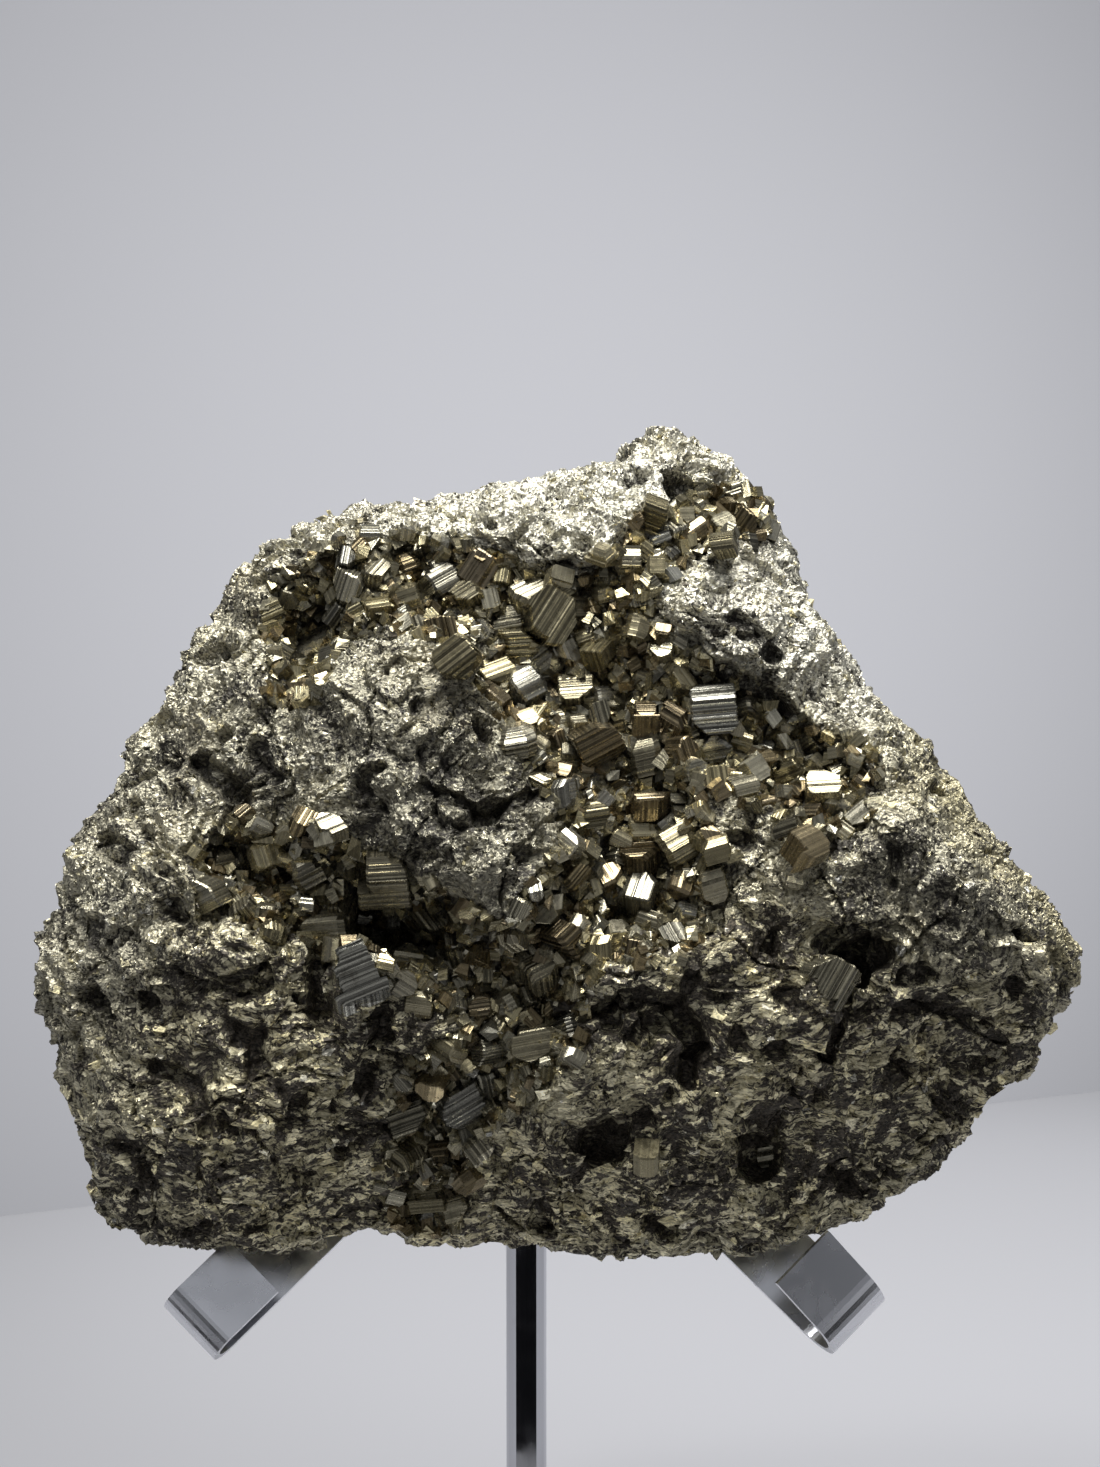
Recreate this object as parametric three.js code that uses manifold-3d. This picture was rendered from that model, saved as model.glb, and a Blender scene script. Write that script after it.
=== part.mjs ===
// A massive pyrite specimen, leaning in the two bent arms of a chromed display stand.
// Units are millimetres and +Z is up. The viewer stands at -Y.
// The origin is the centre of the base plate's underside, below the rod.
import * as THREE from "three";
import { mergeVertices } from "three/addons/utils/BufferGeometryUtils.js";
import Module from "manifold-3d";

const wasm = await Module();
wasm.setup();

// Driving dimensions of the stand
const BASE = { radius: 72, height: 8, bevel: 1.5 };
const ROD = { radius: 4.2, bevel: 0.4 };
const HUB = { radius: 10, length: 12, height: 149.2, bevel: 1 };
const STRAP = { width: 14.5, thickness: 1.5, slope: 65, splay: 45 };
// Where each arm bends back, how wide the bend is inside, how long its lip is and by how many
// degrees the lip opens
const LEFT = { reach: 88.9, gap: 6.5, lip: 13, open: 0 };
const RIGHT = { reach: 84.2, gap: 14, lip: 11.5, open: 20 };
const CLEARANCE = 0.35;
const WELD = 1e-4;
const CUTTER = 400;
const SIDES = { base: 48, rod: 24, hub: 28, bend: 10 };

// Driving dimensions of the stone. It is measured on its outline's own plane, which leans back:
// x to the right, v up the plane from the stone's foot, n out of the plane towards the viewer.
const STONE = { lean: 15, foot: [0, -33, 108], middle: [7, 78], front: 46, back: 46 };
// How far above the hub the stone's flat rest on the arms ends, and how steeply its back rises
// from there, in degrees
const REST = { top: 32, rise: 35 };
const PILLOW = { share: 0.86, front: 0.86, back: 0.72 };
// The relief of the front grows from nothing at the outline to its full height, over this range
// of how squarely the surface faces the viewer.
const RELIEF_FACING = [0.02, 0.5];
const MESH_DETAIL = 13;
const OUTLINE = [
  [110.3, 55.5], [109.5, 60], [107, 65.5], [104.5, 71], [100.8, 76], [93, 84], [86.5, 89.5],
  [84, 94], [82.5, 99], [77, 106.5], [71, 110.5], [63, 120], [58, 127], [55, 135], [49, 149],
  [45, 156], [40, 163], [31, 168], [23, 165], [14, 156], [4, 153], [-6, 152], [-27, 148],
  [-45, 146], [-51, 143], [-60, 134], [-65, 127], [-68, 120], [-72, 110.5], [-78, 104],
  [-82, 100], [-81.5, 93], [-86, 85.5], [-91, 80.5], [-95.5, 71], [-97, 61], [-96, 49],
  [-93, 38], [-89, 30.5], [-85.5, 21], [-85, 13], [-84, 5.5], [-79, 3.5], [-72.5, 0.5],
  [-66, -1], [-57, 1], [-53, -1], [-38, 1], [-34, 4], [-27, 3], [-18, 1], [-5, 3], [7, 0],
  [22, -1], [46, -1], [54, 2], [66, 7], [73, 10.5], [79.5, 15], [83.5, 20.5], [94, 30.5],
  [99.5, 35], [99.5, 39.5], [105, 45], [108, 50],
];

// Broad swellings of the front: where, how far they reach, and how much they rise. A swelling is
// level up to the first share of its reach and gone at the second.
const SWELL = [0.25, 1.15];
const LUMPS = [
  { at: [-25, 92], reach: [21, 28], rise: 11 },
  { at: [-6, 70], reach: [18, 16], rise: 8 },
  { at: [-58, 105], reach: [22, 24], rise: 4 },
  { at: [-70, 62], reach: [22, 22], rise: 6 },
  { at: [-52, 51], reach: [16, 16], rise: 7 },
  { at: [-58, 22], reach: [26, 20], rise: 6 },
  { at: [34, 44], reach: [34, 22], rise: 2 },
  { at: [80, 62], reach: [34, 16], rise: 5 },
  { at: [44, 117], reach: [20, 12], rise: 7 },
  { at: [76, 84], reach: [26, 20], rise: 10 },
  { at: [12, 140], reach: [40, 14], rise: 4 },
  { at: [4, 14], reach: [40, 12], rise: 5 },
  { at: [-5, -6], reach: [120, 42], rise: -13 },
  { at: [72, 22], reach: [46, 26], rise: -11 },
  { at: [-80, 120], reach: [34, 30], rise: -8 },
];

// Small dark pits of the front
const PITS = [
  { at: [-24, 60], reach: [13, 7], rise: -13 },
  { at: [-41, 119], reach: [7, 7], rise: -7 },
  { at: [15, 20], reach: [6, 7], rise: -7 },
  { at: [45, 20], reach: [7, 7], rise: -6 },
  { at: [61, 53], reach: [8, 6], rise: -8 },
  { at: [-37, 48], reach: [6, 9], rise: -7 },
  { at: [33, 146], reach: [8, 7], rise: -4 },
  { at: [-79, 77], reach: [5, 8], rise: -6 },
  { at: [-86, 59], reach: [5, 9], rise: -5 },
  { at: [31, 38], reach: [4, 12], rise: -4 },
];

// Hollows lined with crystals: each follows a line, with a half-width and a depth, which it
// reaches at this share of the way in from its edge
const HOLLOW_RAMP = 0.6;
const HOLLOWS = [
  { line: [[-40, 122], [-27, 127], [-14, 124], [4, 118], [18, 110], [33, 99], [57, 87]],
    width: 12, depth: 9 },
  { line: [[3, 112], [13, 96], [21, 82], [23, 66]], width: 15, depth: 12 },
  { line: [[14, 116], [22, 130], [36, 142], [43, 143]], width: 7, depth: 4 },
  { line: [[14, 68], [6, 58], [3, 42], [-16, 27], [-19, 12]], width: 10, depth: 8 },
  { line: [[3, 48], [-16, 54], [-26, 61], [-38, 66], [-52, 71]], width: 11, depth: 10 },
  { line: [[-40, 122], [-43, 107]], width: 7, depth: 7 },
];
// The crust that lines them, and how much of the way in from an edge it takes to reach its full
// thickness. A crystal belongs to it where that share is over the last number.
const CRUST = { thickness: 2.6, ramp: 0.24, holds: 0.1 };

// The larger crystals, one by one: x, v, size, turn in the picture, tilt, and the way it tilts.
// Angles are in degrees. A way of 90 tilts the face up, 0 to the right.
const CRYSTALS = [
  [-41, 117, 11, 15, 20, 200], [-43, 109, 6, 30, 42, 100], [-34, 127, 6, 70, 24, 250],
  [-29, 129, 6, 60, 38, 75], [-23, 130, 8, 20, 16, 280], [-16, 128, 8, 33, 22, 20],
  [-11, 125, 6, 35, 30, 120], [-9, 130, 7, 55, 15, 200], [-28, 121, 5, 12, 44, 95],
  [-23, 122, 7, 20, 25, 270], [4, 120, 11, 58, 14, 330], [-2, 120, 8, 10, 24, 240],
  [-1, 115, 8, 4, 18, 270], [1, 124, 7, 30, 40, 110], [9, 122, 6, 12, 36, 30],
  [20, 130, 6, 0, 12, 300], [-12, 108, 8, 35, 20, 160], [-6, 109, 7, 30, 34, 80],
  [0, 107, 8, 36, 30, 60], [10, 106, 7, 3, 24, 100], [15, 105, 4, 8, 30, 20],
  [23, 100, 7, 2, 40, 88], [14, 95, 9, 28, 22, 300], [24, 94, 8, 14, 20, 250],
  [36, 102, 9, 5, 16, 270], [36, 95, 7, 10, 32, 285], [51, 91, 6, 22, 30, 240],
  [41, 86, 6, 24, 36, 60], [57, 86, 7, 4, 42, 92], [24, 84, 8, 8, 48, 88],
  [22, 79, 6, 5, 40, 80], [27, 78, 7, 40, 26, 20], [22, 73, 8, 4, 46, 95],
  [21, 67, 9, 75, 32, 100], [30, 76, 9, 30, 14, 310], [52, 73, 8, 35, 40, 60],
  [49, 77, 5, 20, 26, 250], [0, 99, 6, 30, 36, 70], [-1, 94, 7, 10, 22, 270],
  [33, 137, 5, 40, 26, 100], [38, 139, 5, 35, 36, 60], [38, 133, 5, 0, 30, 130],
  [-31, 49, 11, 55, 36, 110], [-35, 64, 7, 80, 40, 95], [-37, 60, 9, 5, 18, 200],
  [-41, 78, 5, 65, 38, 60], [-36, 76, 6, 30, 34, 90], [-40, 71, 8, 28, 24, 290],
  [-26, 69, 10, 4, 40, 270], [-60, 66, 7, 25, 30, 220], [2, 39, 9, 10, 12, 200],
  [9, 42, 7, 15, 38, 20], [3, 51, 6, 35, 42, 100], [-17, 31, 6, 70, 40, 80],
  [-12, 27, 9, 30, 24, 310], [-22, 26, 8, 20, 16, 240], [-20, 12, 9, 5, 12, 250],
  [-10, 14, 7, 30, 34, 40], [23, 17, 6, 85, 46, 92], [47, 18, 4, 10, 20, 270],
  [56, 49, 10, 60, 18, 330],
];
// A crystal's depth and height as shares of its width, how far its middle stands out of the
// stone, and how close two crystals' middles may come, as shares of their size
const BLOCK = { depth: 0.9, height: 0.86, stand: 0.16, apart: 0.52 };
const SCATTERED = {
  count: 52, inside: 0.25, size: [3.6, 6.8], x: [-60, 65], v: [8, 150], turn: 90, tilt: 45, seed: 11,
};

// Flat breaks on the back and sides: outward direction and distance from the stone's heart. One
// with a top fades out above that height up the stone.
const BREAKS = [
  { out: [0.1, 1, 0.1], at: 37 },
  { out: [-0.75, 0.6, 0.25], at: 68 },
  { out: [0.7, 0.65, -0.2], at: 74 },
  { out: [0.45, 0.75, 0.6], at: 62 },
  { out: [-0.35, 0.7, 0.75], at: 63 },
  { out: [-0.7, 0.55, -0.5], at: 84 },
  { out: [0.05, 0.45, 0.9], at: 78 },
  { out: [0.75, -0.19, 0.63], at: 68, top: 112 },
  { out: [-0.9, -0.4, 0.45], at: 90 },
];

const RAD = Math.PI / 180;
const UP = new THREE.Vector3(0, 0, 1);
const ACROSS = new THREE.Vector3(1, 0, 0);

const MATERIALS = {
  pyrite: new THREE.MeshStandardMaterial({ color: 0x8f8a76, roughness: 0.35, metalness: 1 }),
  crystal: new THREE.MeshStandardMaterial({ color: 0xa49c82, roughness: 0.22, metalness: 1 }),
  chrome: new THREE.MeshStandardMaterial({ color: 0xd5d7dc, roughness: 0.06, metalness: 1 }),
};

// Solids

function solidOf(geometry) {
  const plain = geometry.clone();
  plain.deleteAttribute("normal");
  plain.deleteAttribute("uv");
  const merged = mergeVertices(plain, WELD);
  return new wasm.Manifold(
    new wasm.Mesh({
      numProp: 3,
      vertProperties: new Float32Array(merged.attributes.position.array),
      triVerts: new Uint32Array(merged.index.array),
    }),
  );
}

function meshOf(name, solid, material) {
  const made = solid.getMesh();
  const geometry = new THREE.BufferGeometry();
  geometry.setAttribute("position", new THREE.BufferAttribute(made.vertProperties, 3));
  geometry.setIndex(new THREE.BufferAttribute(made.triVerts, 1));
  geometry.computeVertexNormals();
  const mesh = new THREE.Mesh(geometry, material);
  mesh.name = name;
  return mesh;
}

function largestBody(solid) {
  return solid.decompose().reduce((a, b) => (b.volume() > a.volume() ? b : a));
}

// The same random numbers on every run
function randomFrom(seed) {
  let state = seed;
  return () => {
    state = (state + 0x6d2b79f5) | 0;
    let t = Math.imul(state ^ (state >>> 15), 1 | state);
    t = (t + Math.imul(t ^ (t >>> 7), 61 | t)) ^ t;
    return ((t ^ (t >>> 14)) >>> 0) / 4294967296;
  };
}

// The stone's surface

const lean = STONE.lean * RAD;
const upPlane = new THREE.Vector3(0, Math.sin(lean), Math.cos(lean));
const outPlane = new THREE.Vector3(0, -Math.cos(lean), Math.sin(lean));
const foot = new THREE.Vector3(...STONE.foot);

function inWorld(x, v, n) {
  return foot
    .clone()
    .addScaledVector(ACROSS, x)
    .addScaledVector(upPlane, v)
    .addScaledVector(outPlane, n);
}

// Distance from the middle to the outline in the direction of an angle
function outlineRadius(angle) {
  const [mx, mv] = STONE.middle;
  const dx = Math.cos(angle);
  const dv = Math.sin(angle);
  let radius = 0;
  OUTLINE.forEach(([ax, av], i) => {
    const [bx, bv] = OUTLINE[(i + 1) % OUTLINE.length];
    const ex = bx - ax;
    const ev = bv - av;
    const det = ex * dv - ev * dx;
    const along = (dx * (av - mv) - dv * (ax - mx)) / det;
    const r = (ex * (av - mv) - ev * (ax - mx)) / det;
    if (along >= 0 && along <= 1 && r > 0) radius = Math.max(radius, r);
  });
  return radius;
}

function swell(x, v, { at, reach, rise }) {
  const q = Math.hypot((x - at[0]) / reach[0], (v - at[1]) / reach[1]);
  return rise * (1 - THREE.MathUtils.smoothstep(q, ...SWELL));
}

// How far inside a hollow a point is: 1 on its line, 0 at its edge and outside
function inHollow(x, v, { line, width }) {
  let nearest = Infinity;
  for (let i = 0; i + 1 < line.length; i++) {
    const [ax, av] = line[i];
    const ex = line[i + 1][0] - ax;
    const ev = line[i + 1][1] - av;
    const share = ((x - ax) * ex + (v - av) * ev) / (ex * ex + ev * ev);
    const t = THREE.MathUtils.clamp(share, 0, 1);
    nearest = Math.min(nearest, Math.hypot(x - ax - ex * t, v - av - ev * t));
  }
  return Math.max(0, 1 - nearest / width);
}

const crustShare = (x, v) => Math.max(...HOLLOWS.map((h) => inHollow(x, v, h)));

function hollowDepth(x, v) {
  const depths = HOLLOWS.map((h) => h.depth * THREE.MathUtils.smoothstep(inHollow(x, v, h), 0, HOLLOW_RAMP));
  return Math.max(...depths);
}

function hash(i, j, k) {
  const s = Math.sin(i * 127.1 + j * 311.7 + k * 74.7) * 43758.5453;
  return s - Math.floor(s);
}

// Smooth noise from -1 to 1 that changes over a distance of 1
function noise(p) {
  const cell = p.clone().floor();
  const f = p.clone().sub(cell);
  const ease = (t) => t * t * (3 - 2 * t);
  let sum = 0;
  for (let c = 0; c < 8; c++) {
    const [i, j, k] = [c & 1, (c >> 1) & 1, c >> 2];
    const weight =
      ease(i ? f.x : 1 - f.x) * ease(j ? f.y : 1 - f.y) * ease(k ? f.z : 1 - f.z);
    sum += weight * hash(cell.x + i, cell.y + j, cell.z + k);
  }
  return 2 * sum - 1;
}

const ROUGHNESS = [
  { size: 30, rise: 3.2 },
  { size: 12, rise: 1.7 },
];

function roughness(p) {
  const scaled = (size) => noise(p.clone().divideScalar(size));
  return ROUGHNESS.reduce((sum, { size, rise }) => sum + rise * scaled(size), 0);
}

const heart = inWorld(STONE.middle[0], STONE.middle[1], 0);
const breaks = BREAKS.map(({ out, at, top = Infinity }) => {
  return { out: new THREE.Vector3(...out).normalize(), at, top };
});

// The stone's surface in a direction of a unit sphere whose y axis runs away from the viewer
function surfacePoint(direction, extra) {
  const ring = Math.hypot(direction.x, direction.z);
  const angle = Math.atan2(direction.z, direction.x);
  const share = Math.pow(ring, PILLOW.share) * outlineRadius(angle);
  const x = STONE.middle[0] + share * Math.cos(angle);
  const v = STONE.middle[1] + share * Math.sin(angle);
  const facing = Math.abs(direction.y);
  if (direction.y > 0) {
    const point = inWorld(x, v, -STONE.back * Math.pow(facing, PILLOW.back));
    return chip(point.addScaledVector(outPlane, -roughness(point) * facing));
  }
  const swellings = [...LUMPS, ...PITS].reduce((sum, lump) => sum + swell(x, v, lump), 0);
  const relief = swellings - hollowDepth(x, v);
  const body = STONE.front * Math.pow(facing, PILLOW.front);
  const point = inWorld(x, v, body);
  const fade = THREE.MathUtils.smoothstep(facing, ...RELIEF_FACING);
  return chip(point.addScaledVector(outPlane, (relief + roughness(point) + extra(x, v)) * fade));
}

// Brings a point back to the flat breaks that it stands out of
function chip(point) {
  for (const { out, at, top } of breaks) {
    const above = Math.max(0, point.clone().sub(foot).dot(upPlane) - top);
    const over = point.clone().sub(heart).dot(out) - at - above;
    if (over > 0) point.addScaledVector(out, -over);
  }
  return point;
}

function stoneSolid(extra = () => 0) {
  const geometry = new THREE.IcosahedronGeometry(1, MESH_DETAIL);
  const position = geometry.attributes.position;
  const direction = new THREE.Vector3();
  for (let i = 0; i < position.count; i++) {
    direction.fromBufferAttribute(position, i).normalize();
    position.setXYZ(i, ...surfacePoint(direction, extra).toArray());
  }
  return solidOf(geometry);
}

// The stand

const slope = STRAP.slope * RAD;
const splay = STRAP.splay * RAD;
const hubCentre = new THREE.Vector3(0, 0, HUB.height);
const strapUp = new THREE.Vector3(0, Math.cos(slope), Math.sin(slope));
const strapOut = new THREE.Vector3(0, -Math.sin(slope), Math.cos(slope));

function box(width, depth, height, matrix) {
  return solidOf(new THREE.BoxGeometry(width, depth, height).applyMatrix4(matrix));
}

// A bent arm as a flat strip's side view: out from the hub, round the bend and back up the lip.
// side is -1 on the left and 1 on the right, and grow thickens it for cutting its place in the stone.
function arm(side, grow = 0) {
  const { reach, gap, lip, open } = side < 0 ? LEFT : RIGHT;
  const t = STRAP.thickness / 2 + grow;
  const r = (gap + STRAP.thickness) / 2;
  const last = Math.PI / 2 - open * RAD;
  // A point of the lip: how far round from the bend's middle, and how far along the lip
  const onLip = (radius, along) => [
    reach + radius * Math.cos(last) - along * Math.sin(last),
    r + radius * Math.sin(last) + along * Math.cos(last),
  ];
  const profile = new THREE.Shape();
  profile.moveTo(-HUB.radius, -t);
  profile.lineTo(reach, -t);
  profile.absarc(reach, r, r + t, -Math.PI / 2, last, false);
  profile.lineTo(...onLip(r + t, lip + grow));
  profile.lineTo(...onLip(r - t, lip + grow));
  profile.lineTo(...onLip(r - t, 0));
  profile.absarc(reach, r, r - t, last, -Math.PI / 2, true);
  profile.lineTo(-HUB.radius, t);
  const width = STRAP.width + 2 * grow;
  const strip = new THREE.ExtrudeGeometry(profile, {
    depth: width,
    bevelEnabled: false,
    curveSegments: SIDES.bend,
  });
  strip.translate(0, 0, -width / 2);
  const along = ACROSS.clone().multiplyScalar(side * Math.sin(splay));
  along.addScaledVector(strapUp, -Math.cos(splay));
  const across = along.clone().cross(strapOut);
  strip.applyMatrix4(new THREE.Matrix4().makeBasis(along, strapOut, across).setPosition(hubCentre));
  // The two arms meet in a mitre over the hub.
  const away = -side * (CUTTER / 2 - CLEARANCE / 2 + grow);
  const otherSide = new THREE.Matrix4().makeTranslation(away, 0, HUB.height);
  return solidOf(strip).subtract(box(CUTTER, CUTTER, CUTTER, otherSide));
}

// A cylinder standing on the middle of its lower face, with a bevelled rim at either end
function cylinder(radius, height, sides, bevel) {
  const rim = radius - bevel;
  const profile = [[0, 0], [rim, 0], [radius, bevel], [radius, height - bevel], [rim, height], [0, height]];
  const turned = new THREE.LatheGeometry(profile.map((p) => new THREE.Vector2(...p)), sides);
  return turned.rotateX(Math.PI / 2);
}

function hub(grow = 0) {
  const geometry = cylinder(HUB.radius + grow, HUB.length + 2 * grow, SIDES.hub, HUB.bevel);
  const turn = new THREE.Quaternion().setFromUnitVectors(UP, strapOut);
  const back = STRAP.thickness / 2 + CLEARANCE + HUB.length + grow;
  geometry.applyQuaternion(turn);
  geometry.translate(...hubCentre.clone().addScaledVector(strapOut, -back).toArray());
  return solidOf(geometry);
}

function basePlate() {
  return solidOf(cylinder(BASE.radius, BASE.height, SIDES.base, BASE.bevel));
}

function rod() {
  const top = HUB.height;
  const geometry = cylinder(ROD.radius, top - BASE.height, SIDES.rod, ROD.bevel);
  geometry.translate(0, 0, BASE.height);
  // It ends under the hub and behind the arms.
  const whole = solidOf(geometry).subtract(hub(CLEARANCE)).subtract(armSide(1));
  return whole.decompose().reduce((a, b) => (b.boundingBox().min[2] < a.boundingBox().min[2] ? b : a));
}

// Everything on one side of the arms' layer: 1 takes the layer and what lies before it,
// and -1 takes the layer and what lies behind it.
function armSide(sign) {
  const turn = new THREE.Quaternion().setFromUnitVectors(UP, strapOut);
  const far = sign * (CUTTER / 2 - STRAP.thickness / 2 - CLEARANCE);
  const place = hubCentre.clone().addScaledVector(strapOut, far);
  return box(CUTTER, CUTTER, CUTTER, new THREE.Matrix4().compose(place, turn, new THREE.Vector3(1, 1, 1)));
}

// The stone with its lower back cut to lie on the arms
function cutForStand(solid) {
  const rise = REST.rise * RAD;
  const above = new THREE.Vector3(0, -Math.sin(rise), Math.cos(rise));
  const turn = new THREE.Quaternion().setFromUnitVectors(UP, above);
  const place = hubCentre.clone().addScaledVector(strapUp, REST.top).addScaledVector(above, -CUTTER / 2);
  const low = new THREE.Matrix4().compose(place, turn, new THREE.Vector3(1, 1, 1));
  const behind = armSide(-1).intersect(box(CUTTER, CUTTER, CUTTER, low));
  return solid.subtract(behind).subtract(arm(-1, CLEARANCE)).subtract(arm(1, CLEARANCE));
}

// The crystals of the hollows

// As far out as a crystal's place is looked up, as a share of the way to the outline
const RIM = 0.995;

// The stone's front at x and v, found along the line towards the viewer
function frontHeight(x, v) {
  const [mx, mv] = STONE.middle;
  const angle = Math.atan2(v - mv, x - mx);
  const ring = Math.pow(Math.hypot(x - mx, v - mv) / outlineRadius(angle), 1 / PILLOW.share);
  const inside = Math.min(ring, RIM);
  const direction = new THREE.Vector3(
    inside * Math.cos(angle), -Math.sqrt(1 - inside * inside), inside * Math.sin(angle));
  const point = surfacePoint(direction, () => 0);
  return point.sub(foot).dot(outPlane);
}

// A crystal block that faces the viewer, turned in the picture and then tilted
function crystal(x, v, size, turn, tilt, way) {
  const spin = new THREE.Quaternion().setFromAxisAngle(outPlane, turn * RAD);
  const tiltAxis = ACROSS.clone().multiplyScalar(-Math.sin(way * RAD));
  tiltAxis.addScaledVector(upPlane, Math.cos(way * RAD));
  const lay = new THREE.Quaternion().setFromAxisAngle(tiltAxis, tilt * RAD);
  const upright = new THREE.Quaternion().setFromRotationMatrix(
    new THREE.Matrix4().makeBasis(ACROSS, outPlane.clone().negate(), upPlane));
  const pose = lay.multiply(spin).multiply(upright);
  const place = inWorld(x, v, frontHeight(x, v) + size * BLOCK.stand);
  const matrix = new THREE.Matrix4().compose(place, pose, new THREE.Vector3(1, 1, 1));
  return box(size, size * BLOCK.depth, size * BLOCK.height, matrix);
}

function scatteredCrystals() {
  const random = randomFrom(SCATTERED.seed);
  const taken = CRYSTALS.map(([x, v, size]) => [x, v, size]);
  const made = [];
  const between = ([low, high]) => low + (high - low) * random();
  while (made.length < SCATTERED.count) {
    const x = between(SCATTERED.x);
    const v = between(SCATTERED.v);
    const size = between(SCATTERED.size);
    const turns = [SCATTERED.turn * random(), SCATTERED.tilt * random(), 360 * random()];
    const clear = taken.every(([tx, tv, ts]) => Math.hypot(x - tx, v - tv) > BLOCK.apart * (size + ts));
    if (!clear || crustShare(x, v) < SCATTERED.inside) continue;
    taken.push([x, v, size]);
    made.push(crystal(x, v, size, ...turns));
  }
  return made;
}

function crustSolid(stone) {
  const lining = (x, v) => CRUST.thickness * THREE.MathUtils.smoothstep(crustShare(x, v), 0, CRUST.ramp);
  const own = CRYSTALS.filter(([x, v]) => crustShare(x, v) > CRUST.holds).map((row) => crystal(...row));
  const all = [...own, ...scatteredCrystals()].reduce((sum, block) => sum.add(block), stoneSolid(lining));
  const ahead = stone.translate(...outPlane.clone().multiplyScalar(CLEARANCE).toArray());
  return largestBody(all.subtract(stone).subtract(ahead));
}

// Single crystals that stand on the massive part, away from the hollows
function looseCrystals() {
  return CRYSTALS.filter(([x, v]) => crustShare(x, v) <= CRUST.holds).map((row) => crystal(...row));
}

const stone = looseCrystals().reduce((sum, block) => sum.add(block), stoneSolid());

const part = new THREE.Group();
part.add(meshOf("base_plate", basePlate(), MATERIALS.chrome));
part.add(meshOf("rod", rod(), MATERIALS.chrome));
part.add(meshOf("hub", hub(), MATERIALS.chrome));
part.add(meshOf("left_arm", arm(-1), MATERIALS.chrome));
part.add(meshOf("right_arm", arm(1), MATERIALS.chrome));
part.add(meshOf("pyrite_mass", largestBody(cutForStand(stone)), MATERIALS.pyrite));
part.add(meshOf("crystal_crust", crustSolid(stone), MATERIALS.crystal));

export default part;
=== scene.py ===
"""The looks of a pyrite specimen on a chromed stand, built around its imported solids.

Lengths in this script are millimetres. Blender's own are metres.
"""

import math

import bpy
import numpy as np
from mathutils import Matrix, Vector, noise
from mathutils.bvhtree import BVHTree


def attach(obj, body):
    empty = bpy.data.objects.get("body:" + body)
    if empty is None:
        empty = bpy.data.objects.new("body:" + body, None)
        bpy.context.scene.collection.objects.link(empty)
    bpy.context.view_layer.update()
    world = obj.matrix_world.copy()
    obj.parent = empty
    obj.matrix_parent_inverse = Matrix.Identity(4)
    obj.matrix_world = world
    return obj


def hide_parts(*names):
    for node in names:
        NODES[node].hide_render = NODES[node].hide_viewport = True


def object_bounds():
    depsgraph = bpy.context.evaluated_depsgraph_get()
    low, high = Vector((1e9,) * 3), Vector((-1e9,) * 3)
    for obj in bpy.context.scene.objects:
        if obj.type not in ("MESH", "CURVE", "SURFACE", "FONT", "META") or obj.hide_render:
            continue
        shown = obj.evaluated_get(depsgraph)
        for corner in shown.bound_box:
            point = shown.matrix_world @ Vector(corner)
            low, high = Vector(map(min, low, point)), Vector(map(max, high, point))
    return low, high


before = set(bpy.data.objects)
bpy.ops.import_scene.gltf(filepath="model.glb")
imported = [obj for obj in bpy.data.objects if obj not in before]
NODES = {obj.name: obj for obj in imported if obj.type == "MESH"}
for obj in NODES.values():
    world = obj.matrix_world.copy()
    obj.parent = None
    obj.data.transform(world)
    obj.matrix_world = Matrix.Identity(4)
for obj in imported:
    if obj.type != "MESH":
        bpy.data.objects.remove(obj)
CAD_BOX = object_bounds()
MM = 0.001
RAD = math.pi / 180

# The camera, and the stone's own plane: x right, v up the plane, n out of it to the viewer
CAMERA = {"at": (4.9, -656.4, 275.4), "down": 6, "lens": 79.75}
STONE = {"lean": 15, "foot": (0, -33, 108)}
UP_PLANE = np.array([0, math.sin(STONE["lean"] * RAD), math.cos(STONE["lean"] * RAD)])
OUT_PLANE = np.array([0, -math.cos(STONE["lean"] * RAD), math.sin(STONE["lean"] * RAD)])
ACROSS = np.array([1.0, 0, 0])

# The arms' layer on the stand, as in the solids
STAND = {"hub_height": 149.2, "slope": 65, "splay": 45, "strip_width": 14.5, "reach": 94, "back": 10}
# The skin is held back at the arms: half their layer, how far off that fades, how sunk and flat
HELD = {"layer": 1, "fade": 4, "sunk": 0.2, "flatter": 0.6}
# How far the looks may stand past the solids' box
PAST_BOX = 0.4

# The stone's hollows: half-width, and the line of x and v that each follows
HOLLOWS = [
    (12, [(-40, 122), (-27, 127), (-14, 124), (4, 118), (18, 110), (33, 99), (57, 87)]),
    (15, [(3, 112), (13, 96), (21, 82), (23, 66)]),
    (7, [(14, 116), (22, 130), (36, 142), (43, 143)]),
    (10, [(14, 68), (6, 58), (3, 42), (-16, 27), (-19, 12)]),
    (11, [(3, 48), (-16, 54), (-26, 61), (-38, 66), (-52, 71)]),
    (7, [(-40, 122), (-43, 107)]),
]

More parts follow.
